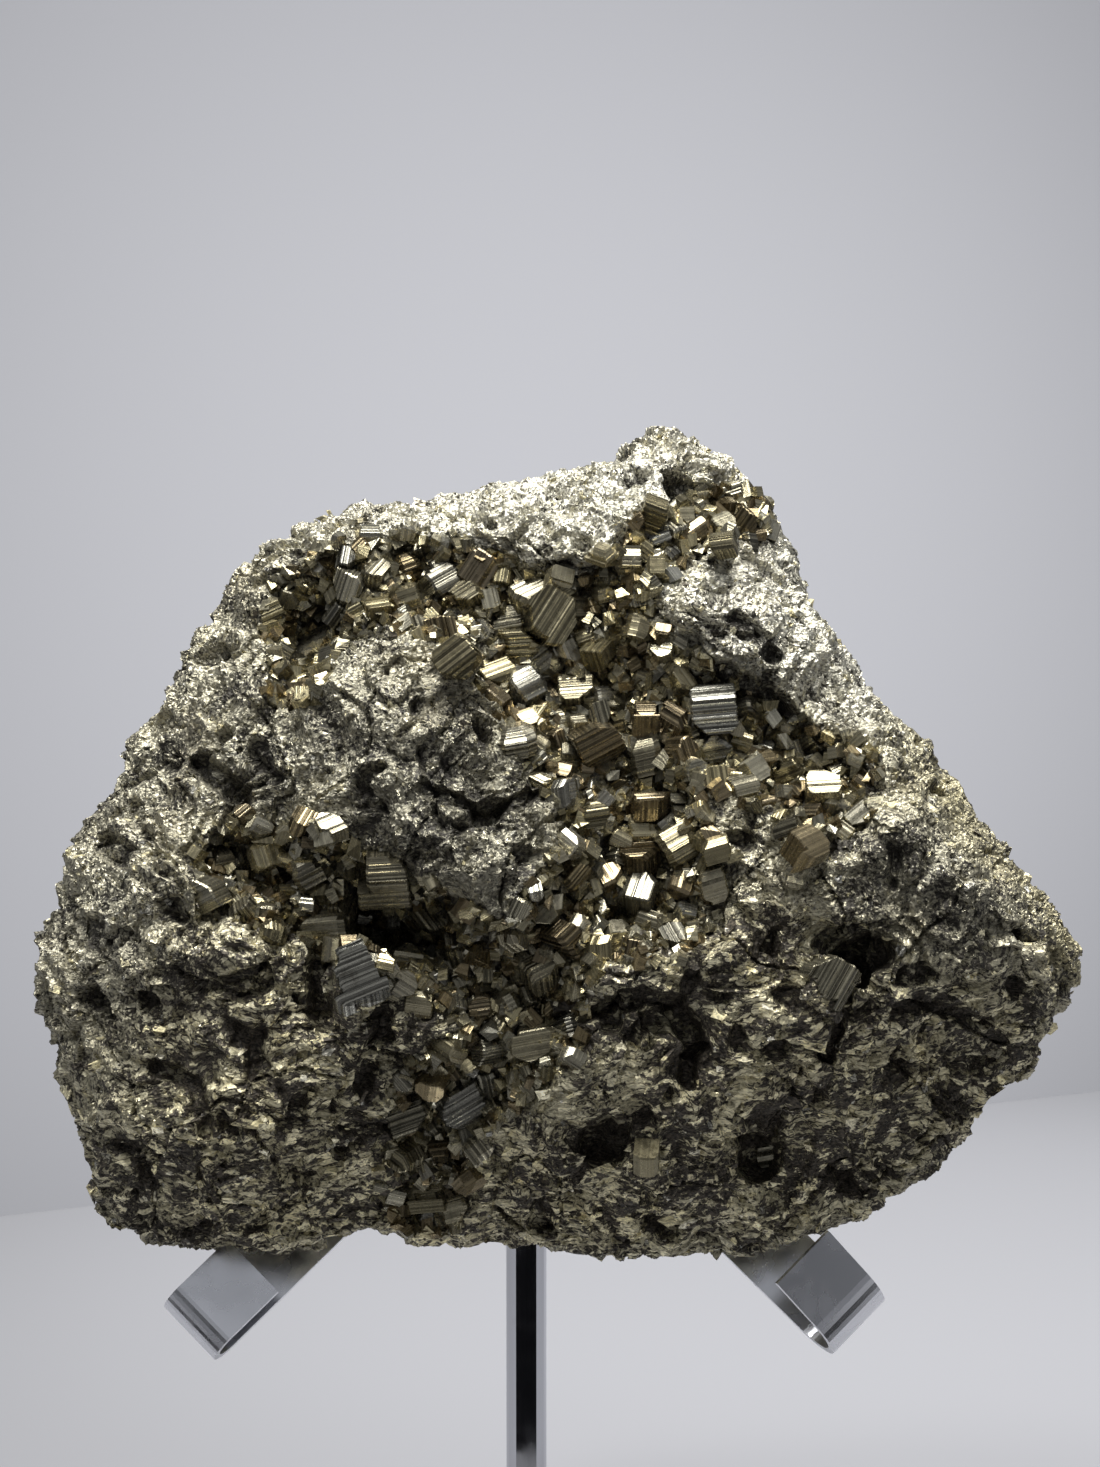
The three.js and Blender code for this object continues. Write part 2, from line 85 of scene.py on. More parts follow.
# The larger crystals: x, v, size, turn in the picture, tilt, and the way it tilts.
# A way of 90 tilts the face up, 0 to the right.
CRYSTALS = [
    (-41, 117, 11, 15, 20, 200), (-43, 109, 6, 30, 42, 100), (-34, 127, 6, 70, 24, 250),
    (-29, 129, 6, 60, 38, 75), (-23, 130, 8, 20, 16, 280), (-16, 128, 8, 33, 22, 20),
    (-11, 125, 6, 35, 30, 120), (-9, 130, 7, 55, 15, 200), (-28, 121, 5, 12, 44, 95),
    (-23, 122, 7, 20, 25, 270), (4, 120, 11, 58, 14, 330), (-2, 120, 8, 10, 24, 240),
    (-1, 115, 8, 4, 18, 270), (1, 124, 7, 30, 40, 110), (9, 122, 6, 12, 36, 30), (20, 130, 6, 0, 12, 300),
    (-12, 108, 8, 35, 20, 160), (-6, 109, 7, 30, 34, 80), (0, 107, 8, 36, 30, 60), (10, 106, 7, 3, 24, 100),
    (15, 105, 4, 8, 30, 20), (23, 100, 7, 2, 40, 88), (14, 95, 9, 28, 22, 300), (24, 94, 8, 14, 20, 250),
    (36, 102, 9, 5, 16, 270), (36, 95, 7, 10, 32, 285), (51, 91, 6, 22, 30, 240), (41, 86, 6, 24, 36, 60),
    (57, 86, 7, 4, 42, 92), (24, 84, 8, 8, 48, 88), (22, 79, 6, 5, 40, 80), (27, 78, 7, 40, 26, 20),
    (22, 73, 8, 4, 46, 95), (21, 67, 9, 75, 32, 100), (30, 76, 9, 30, 14, 310), (52, 73, 8, 35, 40, 60),
    (49, 77, 5, 20, 26, 250), (0, 99, 6, 30, 36, 70), (-1, 94, 7, 10, 22, 270), (33, 137, 5, 40, 26, 100),
    (38, 139, 5, 35, 36, 60), (38, 133, 5, 0, 30, 130), (-31, 49, 11, 25, 14, 95), (-35, 64, 7, 80, 40, 95),
    (-37, 60, 9, 5, 18, 200), (-41, 78, 5, 65, 38, 60), (-36, 76, 6, 30, 34, 90), (-40, 71, 8, 28, 24, 290),
    (-26, 69, 10, 4, 40, 270), (-60, 66, 7, 25, 30, 220), (2, 39, 9, 10, 12, 200), (9, 42, 7, 15, 38, 20),
    (3, 51, 6, 35, 42, 100), (-17, 31, 6, 70, 40, 80), (-12, 27, 9, 30, 24, 310), (-22, 26, 8, 20, 16, 240),
    (-20, 12, 9, 5, 12, 250), (-10, 14, 7, 30, 34, 40), (23, 17, 6, 85, 46, 92), (47, 18, 4, 10, 20, 270),
    (56, 49, 10, 60, 18, 330),
]

# Where each kind of grain lies on the front: the middle (x, v) of each of its patches, and its reach.
# The duller patches are darker partly as painted shade, and the bright ones lighter partly as
# painted light where the top and the right edge face the lamp.
PATCHES = {
    "bright": [((20, 145), (75, 20)), ((66, 118), (20, 26)), ((45, 118), (18, 12))],
    "khaki": [((82, 98), (13, 16)), ((94, 81), (12, 14)), ((104, 66), (9, 12)), ((107, 58), (6, 9))],
    "mixed": [((-52, 102), (20, 24)), ((-82, 62), (16, 36)), ((-27, 106), (16, 12))],
    "dull_and_shade": [((-22, 86), (24, 20)), ((-5, 70), (22, 14)), ((76, 62), (22, 12))],
    "flaky": [((55, 32), (58, 30)), ((-52, 26), (40, 30)), ((0, 8), (62, 14))],
}
# Each kind of grain: least and greatest size, proportions, the share that lies flat, least and
# greatest brightness, and how densely it stands
KIND_COLUMNS = ("size", "shape", "flat", "tone", "share")
KIND_ROWS = {
    "bright": ((0.4, 1.1), (1.0, 0.9, 0.7), 0.7, (1.0, 1.28), 0.8),
    "mixed": ((0.5, 1.6), (1.1, 0.9, 0.6), 0.75, (0.55, 0.95), 0.5),
    "khaki": ((0.5, 1.2), (1.0, 0.9, 0.7), 0.7, (0.45, 0.8), 0.6),
    "dull_and_shade": ((0.4, 1.1), (1.0, 0.9, 0.7), 0.7, (0.25, 0.55), 0.6),
    "flaky": ((0.7, 2.8), (1.5, 0.8, 0.22), 0.95, (0.55, 1.15), 0.3),
}
KINDS = {name: dict(zip(KIND_COLUMNS, row)) for name, row in KIND_ROWS.items()}
# How much a kind weighs everywhere and in its patches, and the depth over which patches fade out
WEIGHTS = {"any": 0.12, "mixed": 0.3, "patch": 1.6, "edge": 1.25, "depth": 12}
GRAINS = {"pieces": 2, "each": 5500, "uneven": 0.26, "seed": 5}
# Larger flakes along the foot: x, v, length, width and turn in the picture
FLAKES = [
    (-62, 9, 10, 3.4, -32), (-55, 13, 6, 2.4, 20), (-39, 8, 7, 3, 4), (-28, 13, 9, 4.5, -12),
    (-21, 9, 7, 4, 25), (-18, 3, 9, 4, -6), (-9, 4, 6, 3.2, 12), (-70, 20, 6, 2.2, -50),
    (29, 6, 6, 2.4, 8), (63, 17, 6, 2.2, 30), (50, 28, 5, 2.4, -20), (74, 30, 5, 2, 35),
]
SPIKES = {"count": 14000, "size": (0.3, 0.75), "seed": 9}
# The skin's grid is finer in front of the seam than behind it, and the two overlap there
SKIN = {"fine": 0.53, "coarse": 0.92, "seam": -8, "overlap": 1.5, "smooth": 5, "jitter": 0.09, "seed": 3}
# The hollows' small cubes and scattered crystals are tried all over x and v. One stays where the
# place is inside a hollow by more than a share drawn from "inside".
CUBES = {"count": 5000, "x": (-62, 72), "v": (3, 154), "inside": (0.02, 0.2), "size": (1.0, 3.0), "seed": 21}
SCATTERED = {
    "count": 340, "tries": 9000, "x": (-60, 68), "v": (5, 152), "inside": (0.05, 0.32),
    "size": (3.0, 6.8), "apart": 0.4, "seed": 33,
}
# None of them sits where the skin faces forward by less than this share
STEEP = 0.25
# A ray that looks for the skin starts this far before the stone's plane
RAY_FROM = 120
# Each crystal's growth lines start somewhere within this length
LINES = 40

# Holes and cracks of the front: half-width, depth, and a line of x and v. They are shallower
# where the skin is less than this far before the stone's plane.
CARVED_OVER = 10
CARVED = [
    (6, 9, [(-31, 61), (-17, 60)]),
    (5, 5, [(-42, 119), (-40, 118)]),
    (5, 7, [(14, 20), (17, 21)]),
    (4.5, 6, [(45, 17), (46, 24)]),
    (4, 8, [(58, 51), (66, 55)]),
    (3, 6, [(-38, 52), (-37, 43)]),
    (2, 5, [(22, 47), (28, 44), (32, 38), (31, 31)]),
    (1.8, 5, [(60, 47), (59, 41), (57, 36)]),
    (2.2, 4, [(0, 40), (10, 43), (22, 46)]),
    (3.5, 4, [(30, 147), (36, 145)]),
    (3, 4, [(-80, 77), (-76, 74)]),
    (3, 4, [(-83, 61), (-80, 57)]),
    (3, 4, [(38, 107), (48, 103), (56, 95)]),
    (2.5, 3, [(40, 118), (48, 112)]),
    (2.5, 4, [(-62, 92), (-54, 84), (-56, 76)]),
    (2, 3, [(-18, 84), (-6, 80), (2, 84)]),
    (2, 3, [(75, 46), (84, 44), (92, 40)]),
    (2, 3, [(-70, 34), (-62, 30), (-60, 22)]),
]
# The relief of the broken surface: how wide and how high each kind of form is. All but the lumps
# are bent out of line first.
BEND = {"size": 9, "far": 2.5}
LEDGES = {"size": 17, "levels": 3.4, "height": 1.9, "edge": 0.2}
RIDGES = {"size": 14, "height": 1.8}
LUMPS = ((13, 1.8), (6, 0.8))
FACETS = ((5.0, 0.4), (2.3, 0.42))
# Flaky places have leaves instead, drawn out along x and y by these shares and turned by degrees
LEAVES = {"drawn": (0.42, 0.6, 1.0), "turn": 16, "facets": ((2.6, 0.35), (1.2, 0.4))}
HOLES = {"size": 6.5, "over": 0.3, "depth": 3.0}
CRACKS = {"size": 24, "half": 0.018, "depth": 1.6}

# The colours of the skin and of the crystals
COLOURS = {
    "pale": (0.66, 0.65, 0.59, 1), "yellow": (0.66, 0.59, 0.35, 1), "rust": (0.34, 0.28, 0.17, 1),
    # Painted shade for the gaps between the skin's grains: plain, among flakes, and the deepest
    "gap": (0.06, 0.055, 0.045, 1), "flaky_gap": (0.13, 0.108, 0.078, 1), "deep": (0.02, 0.017, 0.013, 1),
    "face": (0.62, 0.61, 0.53, 1), "yellow_face": (0.66, 0.58, 0.345, 1), "brown": (0.36, 0.27, 0.14, 1),
    "stain": (0.14, 0.12, 0.08, 1),
}
# The stand's plating: colour, least and greatest roughness, and the nodes that have it
PLATING = {
    "chrome_polished": {"colour": (0.58, 0.59, 0.625), "rough": (0.05, 0.13), "nodes": ("hub", "rod")},
    "chrome_satin": {"colour": (0.82, 0.83, 0.87), "rough": (0.24, 0.34), "nodes": ("left_arm", "right_arm")},
    "chrome_brushed": {"colour": (0.58, 0.59, 0.625), "rough": (0.32, 0.42), "nodes": ("base_plate",)},
}
BEVEL = {"width": 0.25, "segments": 2, "angle": 40, "smooth": 30}

# The stage and the light
PAPER = (0.270, 0.272, 0.289)
# Both are turned by the floor's angle, and the wall is beyond a camera that looks from behind
FLOOR = {"half": 3500, "near": -1500, "far": 447, "radius": 22, "turn": 26}
WALL = {"half": 5000, "far": 1424, "low": -900, "top": 4200}
# Dark strips that bend round the front of the stand: the radius and height of each one's two
# edges, and how many degrees it goes to either side
FLAGS = {
    "flag": {"edges": [(1350, 1), (1350, 620)], "spread": 34, "colour": (0.05, 0.05, 0.05)},
    "rod_card": {"edges": [(170, 2), (170, 66)], "spread": 70, "colour": (0.012, 0.012, 0.013)},
    "floor_cloth": {"edges": [(130, 1), (460, 1)], "spread": 66, "colour": (0.14, 0.14, 0.145)},
}
AREAS = {
    "top": {"at": (60, -150, 1100), "towards": (0, -20, 180), "size": (700, 500), "watts": 26,
            "colour": (1, 0.99, 0.96)},
    "spark": {"at": (-300, -500, 1000), "towards": (0, -30, 190), "size": (120, 120), "watts": 3,
              "colour": (1, 1, 1)},
}
# Spots on the wall and on the floor behind the stone: angle is the whole cone's
SPOT_RADIUS = 20
SPOTS = {
    "wall_glow": {"at": (520, 660, 160), "towards": (90, 1569, 175), "angle": 130, "watts": 96},
    "floor_glow": {"at": (110, 380, 1000), "towards": (110, 380, 0), "angle": 42, "watts": 36},
}
ROOM = {"colour": (0.80, 0.82, 0.87), "level": -0.1, "top": 0.9, "low": 0.2, "high": 0.7}
VIEW = {"transform": "Standard", "look": "None", "exposure": -0.35}


# Places


def in_world(x, v, n):
    return np.array(STONE["foot"], float) + x * ACROSS + v * UP_PLANE + n * OUT_PLANE


def on_plane(points):
    """x, v and n of points in millimetres"""
    d = points - np.array(STONE["foot"], float)
    return d @ ACROSS, d @ UP_PLANE, d @ OUT_PLANE


def inside_line(x, v, width, line):
    """1 on a line, 0 at its half-width and outside"""
    best = np.zeros(len(x))
    for a, b in zip(line, line[1:]):
        e = np.subtract(b, a)
        t = np.clip(((x - a[0]) * e[0] + (v - a[1]) * e[1]) / (e @ e), 0, 1)
        far = np.hypot(x - a[0] - e[0] * t, v - a[1] - e[1] * t)
        best = np.maximum(best, 1 - far / width)
    return best


def in_hollows(x, v):
    return np.max([inside_line(x, v, width, line) for width, line in HOLLOWS], axis=0)


def carved(x, v):
    """How deep the front's holes and cracks are"""
    cuts = [depth * np.clip(2.2 * inside_line(x, v, width, line), 0, 1) for width, depth, line in CARVED]
    return np.max(cuts, axis=0)


def near_arms(points):
    """How close points are to the arms' two strips: 1 on a strip, 0 where it has faded"""
    slope, splay = STAND["slope"] * RAD, STAND["splay"] * RAD
    up = np.array([0, math.cos(slope), math.sin(slope)])
    out = np.array([0, -math.sin(slope), math.cos(slope)])
    d = points - np.array([0, 0, STAND["hub_height"]])
    height = np.abs(d @ out)
    best = np.full(len(points), 1e3)
    for side in (-1, 1):
        along = side * math.sin(splay) * ACROSS - math.cos(splay) * up
        across = np.cross(along, out)
        beside = np.maximum(np.abs(d @ across) - STAND["strip_width"] / 2, 0)
        beyond = np.maximum(d @ along - STAND["reach"], 0) + np.maximum(-(d @ along) - STAND["back"], 0)
        above = np.maximum(height - HELD["layer"], 0)
        best = np.minimum(best, np.sqrt(beside**2 + beyond**2 + above**2))
    return np.clip(1 - best / HELD["fade"], 0, 1)


# Meshes


def placed(name, data):
    """A new object in the scene"""
    made = bpy.data.objects.new(name, data)
    bpy.context.scene.collection.objects.link(made)
    return made


def mesh_object(name, points, faces, material, tint, lines=None):
    """A flat-shaded object. Its points, in millimetres, have tints, and its faces' corners may have
    places across the growth lines."""
    lo, hi = (np.array(c) / MM for c in CAD_BOX)
    points = np.clip(points, lo - PAST_BOX, hi + PAST_BOX)
    mesh = bpy.data.meshes.new(name)
    sides = faces.shape[1]
    mesh.vertices.add(len(points))
    mesh.vertices.foreach_set("co", (points * MM).astype(np.float32).ravel())
    mesh.loops.add(faces.size)
    mesh.loops.foreach_set("vertex_index", faces.astype(np.int32).ravel())
    mesh.polygons.add(len(faces))
    mesh.polygons.foreach_set("loop_start", np.arange(0, faces.size, sides, dtype=np.int32))
    layer = mesh.attributes.new("tint", "FLOAT_COLOR", "POINT")
    layer.data.foreach_set("color", tint.astype(np.float32).ravel())
    if lines is not None:
        layer = mesh.attributes.new("lines", "FLOAT", "CORNER")
        layer.data.foreach_set("value", lines.astype(np.float32).ravel())
    mesh.update(calc_edges=True)
    mesh.shade_flat()
    mesh.materials.append(material)
    return placed(name, mesh)


def unit(rows):
    return rows / np.linalg.norm(rows, axis=1, keepdims=True)


def turned(random, count):
    """Random rotations, as matrices"""
    w, x, y, z = unit(random.normal(size=(count, 4))).T
    return np.stack([
        np.stack([1 - 2 * (y * y + z * z), 2 * (x * y - z * w), 2 * (x * z + y * w)], 1),
        np.stack([2 * (x * y + z * w), 1 - 2 * (x * x + z * z), 2 * (y * z - x * w)], 1),
        np.stack([2 * (x * z - y * w), 2 * (y * z + x * w), 1 - 2 * (x * x + y * y)], 1),
    ], 1)


def lying(random, normals, spread):
    """Rotations whose third axis stands out of the surface, give or take, and whose first is level"""
    out = unit(normals + spread * random.normal(size=normals.shape))
    level = np.cross(out, [0, 0, 1]) + 0.25 * random.normal(size=out.shape)
    level = unit(level - out * np.sum(out * level, 1, keepdims=True))
    return np.stack([level, np.cross(out, level), out], 2)


BLOCK = np.array([(x, y, z) for z in (-0.5, 0.5) for y in (-0.5, 0.5) for x in (-0.5, 0.5)])
BLOCK_FACES = np.array([(0, 2, 3, 1), (4, 5, 7, 6), (0, 1, 5, 4), (2, 6, 7, 3), (0, 4, 6, 2), (1, 3, 7, 5)])
# A flat six-sided flake, as quads
FLAKE = np.array([(x, y, z) for z in (-0.5, 0.5)
                  for x, y in ((-0.5, 0), (-0.3, -0.5), (0.25, -0.45), (0.5, 0.05), (0.3, 0.5), (-0.2, 0.4))])
FLAKE_FACES = np.array([(0, 3, 2, 1), (0, 5, 4, 3), (6, 7, 8, 9), (6, 9, 10, 11)]
                       + [(k, (k + 1) % 6, (k + 1) % 6 + 6, k + 6) for k in range(6)])
# The corner of a cube, pointing out along the third axis
CORNER = np.array([(0, 0, 0.62), (0.94, 0, -0.5), (-0.47, 0.815, -0.5), (-0.47, -0.815, -0.5)])
CORNER_FACES = np.array([(0, 1, 2), (0, 2, 3), (0, 3, 1), (1, 3, 2)])


def repeated(template, faces, centres, turns, sizes, random, uneven):
    """Copies of a template: points and faces. uneven shifts each corner by that share of the size."""
    shapes = template[None] + uneven * random.uniform(-1, 1, size=(len(centres), *template.shape))
    shapes = shapes * sizes[:, None]
    points = np.einsum("nij,nkj->nki", turns, shapes) + centres[:, None]
    starts = np.arange(len(centres))[:, None, None] * len(template)
    return points.reshape(-1, 3), (faces[None] + starts).reshape(-1, faces.shape[1])


# Materials


def nodes_of(name):
    material = bpy.data.materials.new(name)
    material.use_nodes = True
    tree = material.node_tree
    tree.nodes.clear()
    return material, tree


def add(tree, kind, settings=None, **inputs):
    """A node's outputs. An input is a value or another node's socket: i and a number is its place,
    and a name's underscores are spaces."""
    made = tree.nodes.new("ShaderNode" + kind)
    for key, value in (settings or {}).items():
        setattr(made, key, value)
    for key, value in inputs.items():
        socket = made.inputs[int(key[1:]) if key[0] == "i" and key[1:].isdigit() else key.replace("_", " ")]
        if isinstance(value, bpy.types.NodeSocket):
            tree.links.new(value, socket)
        else:
            socket.default_value = value
    return made.outputs


def finished(tree, **inputs):
    shader = add(tree, "BsdfPrincipled", **inputs)
    add(tree, "OutputMaterial", Surface=shader[0])


def maths(tree, how, *values):
    """Two or more values joined by an operation, from the left"""
    result = values[0]
    for value in values[1:]:
        result = add(tree, "Math", {"operation": how}, i0=result, i1=value)[0]
    return result


def times(tree, a, b):
    return maths(tree, "MULTIPLY", a, b)


def vectors(tree, how, a, b):
    return add(tree, "VectorMath", {"operation": how}, i0=a, i1=b)[0]


def scaled(tree, vector, by):
    return add(tree, "VectorMath", {"operation": "SCALE"}, i0=vector, i3=by)[0]


# The mix node's two inputs and its output, for each kind of value
MIX_SOCKETS = {"FLOAT": ("i2", "i3", 0), "VECTOR": ("i4", "i5", 1), "RGBA": ("i6", "i7", 2)}


def mixed(tree, share, a, b, kind="RGBA", how="MIX"):
    first, second, result = MIX_SOCKETS[kind]
    settings = {"data_type": kind, "blend_type": how}
    return add(tree, "Mix", settings, i0=share, **{first: a, second: b})[result]


def dimmed(tree, colour, bright):
    """A colour times a brightness"""
    grey = add(tree, "CombineColor", i0=bright, i1=bright, i2=bright)[0]
    return mixed(tree, 1.0, colour, grey, how="MULTIPLY")


def between(tree, value, low, high, to_low=0.0, to_high=1.0):
    made = add(tree, "MapRange", {"clamp": True}, i0=value, i1=low, i2=high, i3=to_low, i4=to_high)
    return made[0]


def per_mm(size):
    """A texture scale whose features are about that many millimetres across"""
    return 1 / (size * MM)


def noisy(tree, place, size, detail, rough=0.5):
    """Noise from 0 to 1 whose broadest features are about size millimetres across"""
    made = add(tree, "TexNoise", Vector=place, Scale=per_mm(size), Detail=detail, Roughness=rough)
    return made["Fac"]


def moved(tree, place, size, far):
    """A place shifted by soft noise of a size, by up to about half a distance, both in millimetres"""
    soft = add(tree, "TexNoise", Vector=place, Scale=per_mm(size), Detail=1.0)
    shift = vectors(tree, "SUBTRACT", soft["Color"], (0.5, 0.5, 0.5))
    return vectors(tree, "ADD", place, scaled(tree, shift, far * MM))


def facets(tree, place, size):
    """A random colour in each small cell"""
    return add(tree, "TexVoronoi", Vector=place, Scale=per_mm(size))["Color"]


def tilted(tree, normal, cell, strength):
    """Tilts the surface by each cell's colour, as a broken grain's faces do"""
    lean = vectors(tree, "SUBTRACT", cell, (0.5, 0.5, 0.5))
    return vectors(tree, "ADD", normal, scaled(tree, lean, strength))


def painted(tree):
    """The place in the piece, and the tint's red, green, blue and alpha"""
    place = add(tree, "TexCoord")["Object"]
    tint = add(tree, "Attribute", {"attribute_name": "tint"})
    red, green, blue = add(tree, "SeparateColor", Color=tint["Color"])
    return place, red, green, blue, tint["Alpha"]


def pyrite_skin():
    """Massive granular pyrite: small cells of metal that tilt every way, drawn out to curved flakes
    in places, with dark gaps of painted shade between them, a painted highlight on the cells that
    glint, and some rust"""
    material, tree = nodes_of("pyrite_skin")
    place, light, yellow, dull_and_shade, flaky = painted(tree)
    bent = moved(tree, moved(tree, place, 8, 5), 1.6, 0.9)
    turn = (0, LEAVES["turn"] * RAD, 0)
    drawn = add(tree, "Mapping", Vector=bent, Rotation=turn, Scale=LEAVES["drawn"])[0]
    ragged = moved(tree, drawn, 0.9, 0.9)
    size = 1.35
    leaves = facets(tree, ragged, size)
    leaf = add(tree, "SeparateXYZ", Vector=leaves)
    to_rim = {"feature": "DISTANCE_TO_EDGE"}
    rims = add(tree, "TexVoronoi", to_rim, Vector=ragged, Scale=per_mm(size))["Distance"]
    # A flake is plain all over: the skin has some of them, and a grain whose alpha is 1 is one.
    plate = maths(tree, "LESS_THAN", leaf[0], between(tree, flaky, 0.1, 0.7, 0.04, 0.38))
    plate = times(tree, plate, maths(tree, "GREATER_THAN", rims, 0.07))
    plate = maths(tree, "MAXIMUM", plate, maths(tree, "GREATER_THAN", flaky, 0.97))
    cell = mixed(tree, flaky, facets(tree, bent, 0.65), facets(tree, drawn, 1.3), "VECTOR")
    cells = add(tree, "SeparateXYZ", Vector=cell)
    grain = mixed(tree, flaky, noisy(tree, bent, 0.8, 3.5, 0.7), noisy(tree, drawn, 0.8, 3.0, 0.65), "FLOAT")
    fines = noisy(tree, drawn, 0.35, 2.0, 0.6)
    # Dark gaps, painted shade between the grains, lie where the grain is low: more of them in dull
    # and shaded places, fewer in bright ones.
    patchy = between(tree, noisy(tree, place, 9, 5.0, 0.65), 0.35, 0.65, -0.09, 0.09)
    edge = maths(tree, "ADD", patchy, 0.41, times(tree, dull_and_shade, 0.12),
                 times(tree, flaky, 0.16))
    edge = maths(tree, "SUBTRACT", edge, between(tree, light, 0.75, 1.05, 0, 0.045))
    worn = between(tree, grain, 0.3, 0.6, 0.5, 0.62)
    grain = maths(tree, "MAXIMUM", grain, times(tree, plate, worn))
    dark = between(tree, maths(tree, "SUBTRACT", grain, edge), -0.015, 0.015, 1.0, 0.0)
    relief = add(tree, "Bump", Strength=0.8, Distance=0.45 * MM, Height=grain)
    normal = tilted(tree, relief[0], mixed(tree, plate, cell, leaves, "VECTOR"), 0.5)
    normal = tilted(tree, normal, facets(tree, place, 0.45), between(tree, plate, 0, 1, 0.55, 0.15))
    normal = add(tree, "VectorMath", {"operation": "NORMALIZE"}, i0=normal)[0]
    metal = mixed(tree, yellow, COLOURS["pale"], COLOURS["yellow"])
    most = maths(tree, "SUBTRACT", 0.75, times(tree, light, 0.6))
    rust = between(tree, noisy(tree, place, 19, 4.0, 0.6), 0.55, 0.72, 0, most)
    metal = mixed(tree, rust, metal, COLOURS["rust"])
    # Some cells glint: smoother and all metal, and brighter by a painted highlight in their colour.
    glint = between(tree, cells[1], 0.91, 0.94)
    plain_cell = maths(tree, "SUBTRACT", 1.0, glint)
    even = between(tree, cells[0], 0.1, 0.9, 0.65, 1.05)
    even = maths(tree, "ADD", even, times(tree, glint, 0.3))
    even = mixed(tree, plate, even, between(tree, leaf[1], 0, 1, 0.9, 1.8), "FLOAT")
    least = between(tree, flaky, 0, 0.6, 0.45, 0.5)
    even = times(tree, even, between(tree, fines, 0.36, 0.6, least, 1.2))
    metal = dimmed(tree, metal, times(tree, light, even))
    gap = mixed(tree, flaky, COLOURS["gap"], COLOURS["flaky_gap"])
    gap = mixed(tree, between(tree, fines, 0.4, 0.62), COLOURS["deep"], gap)
    soft = maths(tree, "MAXIMUM", dark, times(tree, plain_cell, 0.6))
    matt = times(tree, plain_cell, between(tree, light, 0.75, 1.0, 0.3, 0.2))
    matt = maths(tree, "ADD", matt, times(tree, plate, flaky))
    matt = maths(tree, "MAXIMUM", times(tree, dark, 0.6), maths(tree, "MINIMUM", matt, 0.9))
    finished(tree, Base_Color=mixed(tree, dark, metal, gap), Metallic=maths(tree, "SUBTRACT", 1.0, matt),
             Roughness=between(tree, soft, 0, 1, 0.16, 0.6), Normal=normal)
    return material


def pyrite_faces():
    """Crystal faces: mirror-like metal ruled with growth lines, their grooves darkened by painted
    shade, tarnished here and there. The tint's red is how bright a crystal is, green how yellow,
    blue how brown and alpha how ruled and how strong the grooves' painted shade."""
    material, tree = nodes_of("pyrite_faces")
    place, light, yellow, brown, strong = painted(tree)
    across = add(tree, "Attribute", {"attribute_name": "lines"})["Fac"]
    ruled = add(tree, "TexNoise", {"noise_dimensions": "1D"}, W=across, Scale=1.6, Detail=2.5,
                Roughness=0.65)["Fac"]
    deep = times(tree, strong, 0.8)
    bump = add(tree, "Bump", Strength=deep, Distance=0.25 * MM, Height=ruled)[0]
    pitted = noisy(tree, place, 1.3, 3.0)
    bump = add(tree, "Bump", Strength=0.2, Distance=0.12 * MM, Height=pitted, Normal=bump)
    metal = mixed(tree, yellow, COLOURS["face"], COLOURS["yellow_face"])
    metal = mixed(tree, brown, metal, COLOURS["brown"])
    stained = between(tree, noisy(tree, place, 4, 4.0, 0.65), 0.55, 0.75, 0, 0.6)
    metal = mixed(tree, stained, metal, COLOURS["stain"])
    # The grooves between growth lines are darkened: painted shade in the colour.
    painted_groove_shade = between(tree, ruled, 0.46, 0.56, 1.0, 0.0)
    painted_groove_shade = times(tree, painted_groove_shade, times(tree, strong, 0.7))
    bright = times(tree, light, maths(tree, "SUBTRACT", 1.0, painted_groove_shade))
    rough = between(tree, pitted, 0.3, 0.7, 0.18, 0.34)
    finished(tree, Base_Color=dimmed(tree, metal, bright), Metallic=0.85, Roughness=rough,
             Normal=bump[0])
    return material


def chrome(name, colour, smooth, worn):
    """Plating with faint wipe marks. smooth and worn are its least and greatest roughness."""
    material, tree = nodes_of(name)
    place = add(tree, "TexCoord")["Object"]
    wiped = add(tree, "TexNoise", Vector=place, Scale=per_mm(14), Detail=5.0, Distortion=1.5)
    rough = between(tree, wiped["Fac"], 0.4, 0.7, smooth, worn)
    finished(tree, Base_Color=(*colour, 1), Metallic=1.0, Roughness=rough)
    return material


def plain(name, colour, rough=0.9):
    material, tree = nodes_of(name)
    finished(tree, Base_Color=(*colour, 1), Roughness=rough, Specular_IOR_Level=0.0)
    return material


# The stone


def values_of(items, key, width, kind=float):
    """One property of all points or faces, as rows"""
    values = np.zeros(len(items) * width, kind)
    items.foreach_get(key, values)
    return values.reshape(-1, width)


def stone_points(voxel):
    """The solid's skin, evenly divided: points in millimetres, normals and faces"""
    copy = placed("skin_source", NODES["pyrite_mass"].data.copy())
    weld = copy.modifiers.new("weld", "WELD")
    weld.merge_threshold = 0.01 * MM
    remesh = copy.modifiers.new("remesh", "REMESH")
    remesh.mode = "VOXEL"
    remesh.voxel_size = voxel * MM
    soften = copy.modifiers.new("soften", "SMOOTH")
    soften.iterations = SKIN["smooth"]
    soften.factor = 0.5
    mesh = bpy.data.meshes.new_from_object(copy.evaluated_get(bpy.context.evaluated_depsgraph_get()))
    bpy.data.objects.remove(copy)
    points = values_of(mesh.vertices, "co", 3) / MM
    normals = values_of(mesh.vertices, "normal", 3)
    return points, normals, values_of(mesh.polygons, "vertices", 4, np.int32)


HALF = Vector((0.5, 0.5, 0.5))
# Shifts that give a point three noises, one for each axis
NOISES = (Vector((0, 0, 0)), Vector((31.4, 7.7, 19.3)), Vector((5.9, 43.1, 11.6)))
LEAF_TURN = Matrix.Rotation(LEAVES["turn"] * RAD, 3, "Y") @ Matrix.Diagonal(LEAVES["drawn"])


